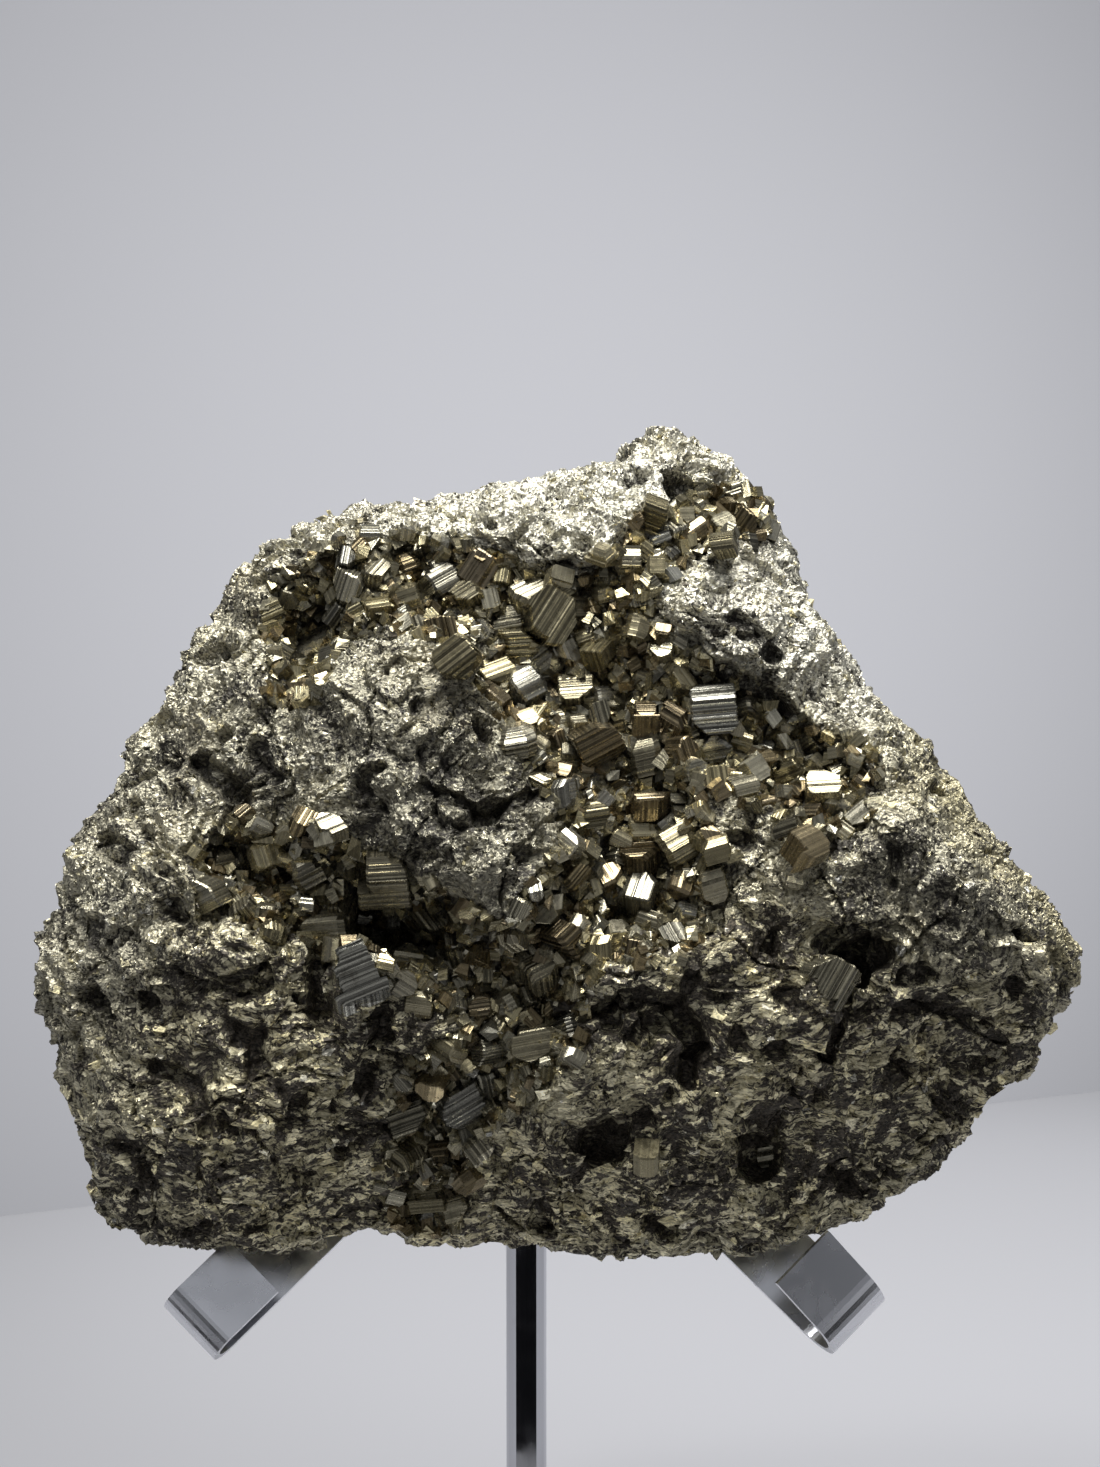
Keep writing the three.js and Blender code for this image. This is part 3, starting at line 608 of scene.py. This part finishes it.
def faceted(p, sizes):
    """How far facets that tilt every way stand out at a point. sizes has their widths and slopes."""
    rise = 0
    for size, slope in sizes:
        middle = noise.voronoi(p / size)[1][0]
        way = noise.cell_vector(middle * 97) - HALF
        rise += size * slope * ((p / size - middle).dot(way) + 0.25 * way.x)
    return rise


def relief(p, flaky):
    """How far a broken surface stands out at a point, where flaky is 0 for facets and 1 for leaves"""
    bent = p + BEND["far"] * Vector([noise.noise(p / BEND["size"] + shift) for shift in NOISES])
    level = LEDGES["levels"] * noise.noise(bent / LEDGES["size"])
    part = level - math.floor(level)
    rise = LEDGES["height"] * (min(part / LEDGES["edge"], 1) - part - 0.4)
    ridged = noise.ridged_multi_fractal(bent / RIDGES["size"], 0.9, 2.1, 3, 0.9, 2.0)
    rise += RIDGES["height"] * (ridged - 1.1)
    for size, height in LUMPS:
        rise += height * noise.noise(p / size)
    if flaky < 1:
        rise += (1 - flaky) * faceted(bent, FACETS)
    if flaky > 0:
        rise += flaky * faceted(LEAF_TURN @ bent, LEAVES["facets"])
    rise -= HOLES["depth"] * min(max(6 * (noise.noise(bent / HOLES["size"]) - HOLES["over"]), 0), 1)
    line = abs(noise.noise(bent / CRACKS["size"]))
    return rise - CRACKS["depth"] * max(1 - line / CRACKS["half"], 0)


def roughened(points, normals):
    """The skin with its relief, its holes and its broken edges, and how high each point stands"""
    random = np.random.default_rng(SKIN["seed"])
    x, v, n = on_plane(points)
    flaky = np.clip(2.5 * shares(x, v, n)["flaky"] - 0.6, 0, 1)
    rise = np.array([relief(Vector(p), f) for p, f in zip(points, flaky)])
    held = near_arms(points)
    rise = np.where(held > 0, np.minimum(rise, 0) - HELD["sunk"], rise) * (1 - HELD["flatter"] * held)
    jitter = random.uniform(-SKIN["jitter"], SKIN["jitter"], size=points.shape) * (1 - held)[:, None]
    cut = carved(x, v) * np.clip(n / CARVED_OVER, 0, 1)
    return points + normals * rise[:, None] - OUT_PLANE * cut[:, None] + jitter, rise - cut


def triangles_of(faces):
    """Each four-sided face as two triangles, split along either diagonal by turns"""
    odd = np.arange(len(faces)) % 2 == 1
    f = np.where(odd[:, None], np.roll(faces, 1, axis=1), faces)
    return np.concatenate([f[:, [0, 1, 2]], f[:, [0, 2, 3]]])


def shares(x, v, n):
    """The share of each kind of grain at each place, by the kind's name"""
    weights = {name: np.full(len(x), WEIGHTS.get(name, WEIGHTS["any"])) for name in KINDS}
    front = np.clip((n + WEIGHTS["depth"]) / (2 * WEIGHTS["depth"]), 0, 1)
    for name, patches in PATCHES.items():
        for at, reach in patches:
            q = np.hypot((x - at[0]) / reach[0], (v - at[1]) / reach[1])
            weights[name] += WEIGHTS["patch"] * np.clip(WEIGHTS["edge"] - q, 0, 1) * front
    whole = np.array(list(weights.values())).sum(0)
    return {name: weight / whole for name, weight in weights.items()}


def patch_kinds(random, x, v, n):
    """The number of one kind of grain at each place"""
    pick = random.uniform(size=len(x))
    steps = np.cumsum(list(shares(x, v, n).values()), 0)
    return np.minimum((steps < pick).sum(0), len(KINDS) - 1)


def of_kinds(kinds, key):
    """What KINDS says under a key for each grain"""
    return np.array([kind[key] for kind in KINDS.values()])[kinds]


def are_kind(kinds, name):
    """1 for each grain of that kind, 0 for the others"""
    return 1.0 * (kinds == list(KINDS).index(name))


def scattered_on(random, points, triangles, normals, count):
    """Random points of the skin, with the normals of its broad form and a corner's number"""
    a, b, c = (points[triangles[:, i]] for i in range(3))
    area = np.linalg.norm(np.cross(b - a, c - a), axis=1)
    pick = random.choice(len(triangles), size=count, p=area / area.sum())
    r = np.sqrt(random.uniform(size=(count, 1)))
    s = random.uniform(size=(count, 1))
    place = a[pick] * (1 - r) + b[pick] * r * (1 - s) + c[pick] * r * s
    return place, normals[triangles[pick, 0]], triangles[pick, 0]


def gathered(triangles, values, count):
    """The sum at each point of its triangles' values"""
    ends = triangles.ravel()
    return np.stack([np.bincount(ends, np.repeat(values[:, k], 3), count) for k in range(3)], 1)


def smooth_normals(points, triangles, rounds=6):
    """Normals of the skin's broad form at each point"""
    a, b, c = (points[triangles[:, i]] for i in range(3))
    out = gathered(triangles, np.cross(b - a, c - a), len(points))
    for _ in range(rounds):
        out = gathered(triangles, out[triangles].mean(1), len(points))
    return unit(out)


def tints(random, kinds):
    """Red is how bright the metal is, partly as painted light and shade, green how yellow, blue how
    dull, partly as painted shade, and alpha how flaky
    """
    bright = random.uniform(*of_kinds(kinds, "tone").T)
    flaky = are_kind(kinds, "flaky")
    yellow = random.normal(0.45, 0.25, len(kinds)) + 0.45 * (flaky + are_kind(kinds, "khaki"))
    dull_and_shade = 0.4 * are_kind(kinds, "dull_and_shade") + random.uniform(0, 0.25, len(kinds))
    return np.c_[bright, np.clip(yellow, 0, 1), dull_and_shade, flaky]


def skin_tints(x, v, n, rise):
    """As tints, with each kind's share instead of one kind, and with painted shade in holes and hollows:
    darker and duller there
    """
    part = shares(x, v, n)
    bright = sum(part[name] * sum(KINDS[name]["tone"]) / 2 for name in KINDS)
    # Painted shade: low places and the skin in the hollows are darker, and duller in the tint's blue.
    low = np.clip(-(rise + 1.3) / 2.5, 0, 1)
    painted_hollow_shade = np.clip(2.5 * in_hollows(x, v), 0, 1) * (n > 0)
    bright = bright * (1 - 0.55 * low) * (1 - 0.45 * painted_hollow_shade)
    dull_and_shade = np.clip(0.1 + 0.35 * part["dull_and_shade"] + 0.6 * low + 0.5 * painted_hollow_shade, 0, 1.3)
    yellow = 0.45 + 0.5 * (part["flaky"] + part["khaki"]) - 0.35 * part["bright"]
    return np.c_[bright, yellow, dull_and_shade, part["flaky"]]


def skin_side(voxel, side):
    """The skin before or behind the seam, where side is 1 or -1: points, triangles and rise"""
    points, normals, faces = stone_points(voxel)
    depth = side * (on_plane(points)[2][faces].mean(1) - SKIN["seam"])
    used, faces = np.unique(faces[depth > -SKIN["overlap"] / 2], return_inverse=True)
    points, rise = roughened(points[used], normals[used])
    return points, triangles_of(faces.reshape(-1, 4)), rise


def make_stone(material):
    """The skin as three pieces in front, side by side, and a coarser one behind"""
    made, sides = [], []
    halves = (("stone_front", SKIN["fine"], 1, 3), ("stone_back", SKIN["coarse"], -1, 1))
    for name, voxel, side, cuts in halves:
        points, triangles, rise = skin_side(voxel, side)
        sides.append((points, triangles, rise))
        tint = skin_tints(*on_plane(points), rise)
        middle = points[triangles, 0].mean(1)
        limits = np.quantile(middle, np.linspace(0, 1, cuts + 1))
        limits[-1] += 1
        for k in range(cuts):
            part = (middle >= limits[k]) & (middle < limits[k + 1])
            used, faces = np.unique(triangles[part], return_inverse=True)
            faces = faces.reshape(-1, 3)
            piece = mesh_object(f"{name}_{k + 1}", points[used], faces, material, tint[used])
            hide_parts("pyrite_mass")
            made.append(piece)
    front, back = sides
    points = np.concatenate([front[0], back[0]])
    triangles = np.concatenate([front[1], back[1] + len(front[0])])
    return made, points, triangles, np.concatenate([front[2], back[2]])


def lander(points, triangles):
    """A function that gives the skin's place and normal behind an x and a v of the front, or None"""
    skin = BVHTree.FromPolygons(points.tolist(), triangles.tolist())

    def landed(x, v):
        place, normal, _, _ = skin.ray_cast(Vector(in_world(x, v, RAY_FROM)), Vector(-OUT_PLANE))
        return None if place is None else (np.array(place), np.array(normal))

    return landed


def make_flakes(landed, material):
    """The listed flakes, each lying on the skin around it"""
    random = np.random.default_rng(GRAINS["seed"])
    centres, turns, sizes = [], [], []
    for x, v, long, wide, turn in FLAKES:
        around = [landed(x + a, v + b) for a, b in ((0, 0), (2, 0), (-2, 0), (0, 2), (0, -2))]
        around = [hit for hit in around if hit]
        out = np.mean([hit[1] for hit in around], 0) + 0.4 * OUT_PLANE
        out /= np.linalg.norm(out)
        along = math.cos(turn * RAD) * ACROSS + math.sin(turn * RAD) * UP_PLANE
        along -= out * (out @ along)
        along /= np.linalg.norm(along)
        turns.append(np.stack([along, np.cross(out, along), out], 1))
        centres.append(np.mean([hit[0] for hit in around], 0) + 0.4 * out)
        sizes.append((long, wide, 1.0))
    listed = (np.array(rows) for rows in (centres, turns, sizes))
    cloud, faces = repeated(FLAKE, FLAKE_FACES, *listed, random, 0.1)
    tint = np.tile((0.85, 0.9, 0.1, 1.0), (len(cloud), 1))
    return mesh_object("flakes", cloud, faces, material, tint)


def make_grains(points, triangles, rise, landed, material):
    """The stone's grains: small blocks and corners half sunk in its skin, with few in its holes"""
    made = []
    broad = smooth_normals(points, triangles)
    for piece in range(GRAINS["pieces"]):
        random = np.random.default_rng(GRAINS["seed"] + piece)
        place, normal, near = scattered_on(random, points, triangles, broad, GRAINS["each"] * 2)
        x, v, n = on_plane(place)
        kinds = patch_kinds(random, x, v, n)
        share = of_kinds(kinds, "share") * (0.55 + 0.45 * (n > -5)) * np.clip(rise[near] + 2, 0.1, 1)
        keep = (in_hollows(x, v) * (n > 0) < 0.3) & (near_arms(place) == 0)
        keep &= random.uniform(size=len(x)) < share
        keep = np.nonzero(keep)[0][: GRAINS["each"]]
        place, normal, kinds = place[keep], normal[keep], kinds[keep]
        low, high = of_kinds(kinds, "size").T
        size = low + (high - low) * random.uniform(size=len(keep)) ** 2.4
        shape = of_kinds(kinds, "shape")
        shape = shape * random.uniform(0.75, 1.3, size=shape.shape) * size[:, None]
        turns = turned(random, len(keep))
        laid = lying(random, normal, 0.28)
        lies = random.uniform(size=len(keep)) < of_kinds(kinds, "flat")
        turns[lies] = laid[lies]
        centres = place + normal * (random.uniform(-0.6, -0.2, len(keep)) * shape.min(1))[:, None]
        cloud, faces = repeated(BLOCK, BLOCK_FACES, centres, turns, shape, random, GRAINS["uneven"])
        tint = np.repeat(tints(random, kinds), len(BLOCK), axis=0)
        made.append(mesh_object(f"grains_{piece + 1}", cloud, faces, material, tint))
    made.append(make_flakes(landed, material))
    made.append(make_corners(points, triangles, rise, broad, material))
    return made


def make_corners(points, triangles, rise, broad, material):
    """Small corners of grains that stand out of the skin all over"""
    random = np.random.default_rng(SPIKES["seed"])
    place, normal, near = scattered_on(random, points, triangles, broad, SPIKES["count"])
    free = (near_arms(place) == 0) & (rise[near] > random.uniform(-2.5, 0.5, len(near)))
    place, normal = place[free], normal[free]
    size = random.uniform(*SPIKES["size"], len(place))[:, None] * np.ones(3)
    turns = lying(random, normal, 0.45)
    spin = random.uniform(0, 2 * math.pi, len(place))[:, None]
    first = turns[:, :, 0] * np.cos(spin) + turns[:, :, 1] * np.sin(spin)
    turns = np.stack([first, np.cross(turns[:, :, 2], first), turns[:, :, 2]], 2)
    cloud, faces = repeated(CORNER, CORNER_FACES, place - 0.1 * normal, turns, size, random, 0.16)
    tint = np.repeat(tints(random, patch_kinds(random, *on_plane(place))), len(CORNER), axis=0)
    return mesh_object("grain_corners", cloud, faces, material, tint)


# Crystals


def ring(low, right, left, back, front, cut):
    """One level of a crystal's outline: a rectangle with its corners cut off"""
    a, b, c, d = cut
    return [
        (-left + a, -front, low), (right - b, -front, low), (right, -front + b, low), (right, back - c, low),
        (right - c, back, low), (-left + d, back, low), (-left, back - d, low), (-left, -front + a, low),
    ]


def stacked_block(random, size, steps, ruled):
    """A crystal as thin slabs grown on each other: points, faces and each corner's place across
    the lines. Its stack runs along its third axis. ruled is how far the slabs' edges lean."""
    depth, height = size * random.uniform(0.75, 1.0), size * random.uniform(0.75, 1.05)
    cut = size * random.choice([0.03, 0.05, 0.12, 0.25], 4, p=[0.45, 0.3, 0.15, 0.1])
    # Below and above, each side may slope in over the last part of the height.
    slope = size * random.choice([0, 0.14, 0.3, 0.42], (2, 4), p=[0.4, 0.25, 0.2, 0.15])
    start = height * random.uniform(0.05, 0.35, (2, 4))
    low = -height / 2
    rings = []
    level = np.array([size, size, depth, depth]) / 2
    while low < height / 2 - 0.05:
        high = min(low + size * random.choice([0.04, 0.06, 0.09, 0.13], p=[0.3, 0.3, 0.25, 0.15]), height / 2)
        inset = size * random.uniform(0, 0.02, 4)
        lean = (high - low) * random.uniform(-ruled, ruled, 4)
        if steps and random.uniform() < 0.12:
            level = level - size * random.choice([0, 0, 0.1, 0.2], 4) * (random.uniform(size=4) < 0.5)
        half = level - inset
        for z, shift in ((low, -np.maximum(lean, 0)), (high, np.minimum(lean, 0))):
            past = np.maximum(abs(z) - start[int(z > 0)], 0) / (height / 2 - start[int(z > 0)])
            rings.append((z, np.maximum(half + shift - past * slope[int(z > 0)], 0.1 * size)))
        low = high
    points = []
    for z, half in rings:
        points += ring(z, *half, np.minimum(cut, 0.9 * half.min()))
    sides = 8
    faces = []
    for k in range(len(rings) - 1):
        for j in range(sides):
            a, b = sides * k + j, sides * k + (j + 1) % sides
            faces.append((a, b, b + sides, a + sides))
    last = sides * (len(rings) - 1)
    ends = ((0, 1, 2, 3), (0, 3, 4, 7), (7, 4, 5, 6))
    faces += [quad[::-1] for quad in ends]
    faces += [tuple(last + k for k in quad) for quad in ends]
    points, faces = np.array(points), np.array(faces)
    # The sides are ruled along the stack and the ends across it.
    ruled_ends = 2 * len(ends)
    lines = points[faces][:, :, 2].copy()
    lines[-ruled_ends:] = points[faces[-ruled_ends:]][:, :, 0]
    return points, faces, lines


def pose(turn, tilt, way):
    """The rotation of a crystal that faces the viewer, turned in the picture and then tilted"""
    upright = np.stack([ACROSS, -OUT_PLANE, UP_PLANE], 1)
    spin = Matrix.Rotation(turn * RAD, 3, Vector(OUT_PLANE))
    axis = Vector(-math.sin(way * RAD) * ACROSS + math.cos(way * RAD) * UP_PLANE)
    lay = Matrix.Rotation(tilt * RAD, 3, axis)
    return np.array(lay @ spin) @ upright


def crystal_spots(random):
    """Every crystal of the hollows: place, size, rotation. The listed ones come first."""
    spots = [(x, v, size, pose(turn, tilt, way), True) for x, v, size, turn, tilt, way in CRYSTALS]
    count = SCATTERED["tries"]
    xs, vs = random.uniform(*SCATTERED["x"], count), random.uniform(*SCATTERED["v"], count)
    low, high = SCATTERED["size"]
    sizes = low + (high - low) * random.uniform(size=count) ** 1.6
    inside = in_hollows(xs, vs) > random.uniform(*SCATTERED["inside"], count)
    for x, v, size in zip(xs[inside], vs[inside], sizes[inside]):
        if len(spots) == len(CRYSTALS) + SCATTERED["count"]:
            break
        if any(math.hypot(x - s[0], v - s[1]) < SCATTERED["apart"] * (size + s[2]) for s in spots):
            continue
        turns = pose(random.uniform(0, 360), random.uniform(5, 50), random.uniform(0, 360))
        spots.append((x, v, size, turns, False))
    return spots


def make_crystals(landed, material):
    """The hollows' larger crystals. The listed ones stand a little prouder than the scattered ones."""
    random = np.random.default_rng(SCATTERED["seed"])
    clouds, start = [], 0
    for x, v, size, turns, listed in crystal_spots(random):
        hit = landed(x, v)
        if hit is None:
            continue
        ruled = random.choice([0.3, 0.6, 1.0], p=[0.1, 0.4, 0.5] if size > 6 else [0.3, 0.4, 0.3])
        own, faces, lines = stacked_block(random, size, size > 5, 0.4 * ruled)
        if not listed and random.uniform() < 0.3:
            own = own @ turned(random, 1)[0]
        rise = (0.08 * size + (0.6 if listed else random.uniform(-0.4, 1.0))) * OUT_PLANE
        bright = random.uniform(0.35, 0.75 if size > 6 else 0.85)
        yellow = np.clip(random.normal(0.55, 0.3), 0, 1)
        brown = 0.7 * (random.uniform() < 0.18) + 0.15 * random.uniform()
        if not listed and hit[1] @ OUT_PLANE < STEEP:
            continue
        lines = lines + LINES * random.uniform()
        tint = np.tile((bright, yellow, brown, ruled), (len(own), 1))
        clouds.append((own @ turns.T + hit[0] + rise, faces + start, lines, tint))
        start += len(own)
    cloud, faces, lines, tint = (np.concatenate(part) for part in zip(*clouds))
    crystals = mesh_object("crystals", cloud, faces, material, tint, lines)
    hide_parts("crystal_crust")
    return crystals


def make_cubes(landed, material):
    """The small cubes between the larger crystals"""
    random = np.random.default_rng(CUBES["seed"])
    tries = CUBES["count"] * 6
    x, v = random.uniform(*CUBES["x"], tries), random.uniform(*CUBES["v"], tries)
    inside = np.nonzero(in_hollows(x, v) > random.uniform(*CUBES["inside"], tries))[0][: CUBES["count"]]
    hits = [landed(x[i], v[i]) for i in inside]
    centres = np.array([hit[0] for hit in hits if hit and hit[1] @ OUT_PLANE > STEEP])
    count = len(centres)
    size = random.uniform(*CUBES["size"], count)[:, None]
    centres += OUT_PLANE * random.uniform(-0.2, 0.35, count)[:, None] * size
    shape = size * random.uniform(0.6, 1.1, size=(count, 3))
    cloud, faces = repeated(BLOCK, BLOCK_FACES, centres, turned(random, count), shape, random, 0.2)
    brown = 0.8 * (random.uniform(size=count) < 0.22)
    bright = random.uniform(0.3, 0.95, count)
    tint = np.c_[bright, random.uniform(0.3, 1.2, count), brown, np.full(count, 0.5)]
    lines = BLOCK[BLOCK_FACES][:, :, 2].copy()
    lines[:2] = BLOCK[BLOCK_FACES[:2]][:, :, 0]
    lines = lines[None] * size[:, None] + LINES * random.uniform(size=(count, 1, 1))
    tint = np.repeat(tint, len(BLOCK), axis=0)
    return mesh_object("crust_cubes", cloud, faces, material, tint, lines.reshape(faces.shape))


# The stand


def finish_stand():
    rounding = smooth_by_angle(BEVEL["smooth"])
    for name, plating in PLATING.items():
        material = chrome(name, plating["colour"], *plating["rough"])
        for node in (NODES[part] for part in plating["nodes"]):
            node.data.materials.clear()
            node.data.materials.append(material)
            bevel = node.modifiers.new("edges", "BEVEL")
            bevel.width = BEVEL["width"] * MM
            bevel.segments = BEVEL["segments"]
            bevel.limit_method = "ANGLE"
            bevel.angle_limit = BEVEL["angle"] * RAD
            node.modifiers.new("rounded", "NODES").node_group = rounding


def smooth_by_angle(degrees):
    """Smooth shading over all edges flatter than an angle"""
    group = bpy.data.node_groups.new("smooth_by_angle", "GeometryNodeTree")
    for way in ("INPUT", "OUTPUT"):
        group.interface.new_socket("Geometry", in_out=way, socket_type="NodeSocketGeometry")
    new, link = group.nodes.new, group.links.new
    start, end = new("NodeGroupInput"), new("NodeGroupOutput")
    faces, edges = new("GeometryNodeSetShadeSmooth"), new("GeometryNodeSetShadeSmooth")
    faces.domain, edges.domain = "FACE", "EDGE"
    angle = new("GeometryNodeInputMeshEdgeAngle")
    flat = new("FunctionNodeCompare")
    flat.operation = "LESS_THAN"
    flat.inputs[1].default_value = degrees * RAD
    link(start.outputs[0], faces.inputs[0])
    link(faces.outputs[0], edges.inputs[0])
    link(angle.outputs["Unsigned Angle"], flat.inputs[0])
    link(flat.outputs[0], edges.inputs["Shade Smooth"])
    link(edges.outputs[0], end.inputs[0])
    return group


# Camera, stage and light


def make_camera():
    data = bpy.data.cameras.new("camera")
    data.lens = CAMERA["lens"]
    data.clip_start = 10 * MM
    data.clip_end = 20000 * MM
    camera = placed("camera", data)
    camera.location = Vector(CAMERA["at"]) * MM
    camera.rotation_euler = ((90 - CAMERA["down"]) * RAD, 0, 0)
    bpy.context.scene.camera = camera


def staged(name, points, faces, material, hidden=False):
    """A smooth surface around the part. A hidden one is only there for its reflection."""
    mesh = bpy.data.meshes.new(name)
    mesh.from_pydata((np.array(points, float) * MM).tolist(), [], faces)
    mesh.polygons.foreach_set("use_smooth", [True] * len(faces))
    mesh.materials.append(material)
    made = placed(name, mesh)
    made.visible_camera = not hidden
    made.visible_shadow = not hidden
    made.visible_diffuse = not hidden


def strip_faces(count):
    """The faces of a strip of points that lie in pairs"""
    return [(2 * k, 2 * k + 1, 2 * k + 3, 2 * k + 2) for k in range(count)]


def make_stage():
    """A pale floor, rounded off at its far edge, and a wall far behind it"""
    turn, paper = FLOOR["turn"] * RAD, plain("paper", PAPER)
    far, radius = FLOOR["far"], FLOOR["radius"]
    steps = 12
    rounded = [k / steps * math.pi / 2 for k in range(steps + 1)]
    edge = [(far + radius * math.sin(a), radius * (math.cos(a) - 1)) for a in rounded]
    floor = [(FLOOR["near"], 0)] + edge
    wall = [(WALL["far"], WALL["low"]), (WALL["far"], WALL["top"])]
    for name, profile, half in (("floor", floor, FLOOR["half"]), ("wall", wall, WALL["half"])):
        points = [(x * math.cos(turn) - y * math.sin(turn), x * math.sin(turn) + y * math.cos(turn), z)
                  for y, z in profile for x in (-half, half)]
        staged(name, points, strip_faces(len(profile) - 1), paper)


def make_flags():
    """Dark strips out of the camera's sight, for the crystals and the stand to reflect"""
    steps = 16
    for name, flag in FLAGS.items():
        points = []
        for k in range(steps + 1):
            a = (k / steps * 2 - 1) * flag["spread"] * RAD
            points += [(r * math.sin(a), -r * math.cos(a), z) for r, z in flag["edges"]]
        staged(name, points, strip_faces(steps), plain(name, flag["colour"]), hidden=True)


def lamp(name, kind, light):
    """A light of that kind at its place, turned to what it points at"""
    data = bpy.data.lights.new(name, kind)
    data.energy = light["watts"]
    made = placed(name, data)
    at = Vector(light["at"])
    made.location = at * MM
    made.rotation_euler = (Vector(light["towards"]) - at).to_track_quat("-Z", "Y").to_euler()
    return data


def make_light():
    for name, light in AREAS.items():
        data = lamp(name, "AREA", light)
        data.shape = "RECTANGLE"
        data.size, data.size_y = (side * MM for side in light["size"])
        data.color = light["colour"]
    for name, light in SPOTS.items():
        data = lamp(name, "SPOT", light)
        data.spot_size = light["angle"] * RAD
        data.spot_blend = 1.0
        data.shadow_soft_size = SPOT_RADIUS * MM
    world = bpy.data.worlds.new("room")
    world.use_nodes = True
    tree = world.node_tree
    tree.nodes.clear()
    parts = add(tree, "SeparateXYZ", Vector=add(tree, "TexCoord")["Generated"])
    # The third part of a direction is its height: 0 level, 1 straight up.
    bright = between(tree, parts[2], ROOM["level"], ROOM["top"], ROOM["low"], ROOM["high"])
    lit = add(tree, "Background", Color=(*ROOM["colour"], 1), Strength=bright)
    add(tree, "OutputWorld", Surface=lit[0])
    bpy.context.scene.world = world
    view = bpy.context.scene.view_settings
    view.view_transform = VIEW["transform"]
    view.look = VIEW["look"]
    view.exposure = VIEW["exposure"]


make_camera()
make_stage()
make_flags()
make_light()
skin_material = pyrite_skin()
face_material = pyrite_faces()
skins, skin_points, skin_triangles, skin_rise = make_stone(skin_material)
on_skin = lander(skin_points, skin_triangles)
for piece in skins + make_grains(skin_points, skin_triangles, skin_rise, on_skin, skin_material):
    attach(piece, "root")
for piece in (make_crystals(on_skin, face_material), make_cubes(on_skin, face_material)):
    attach(piece, "root")
finish_stand()
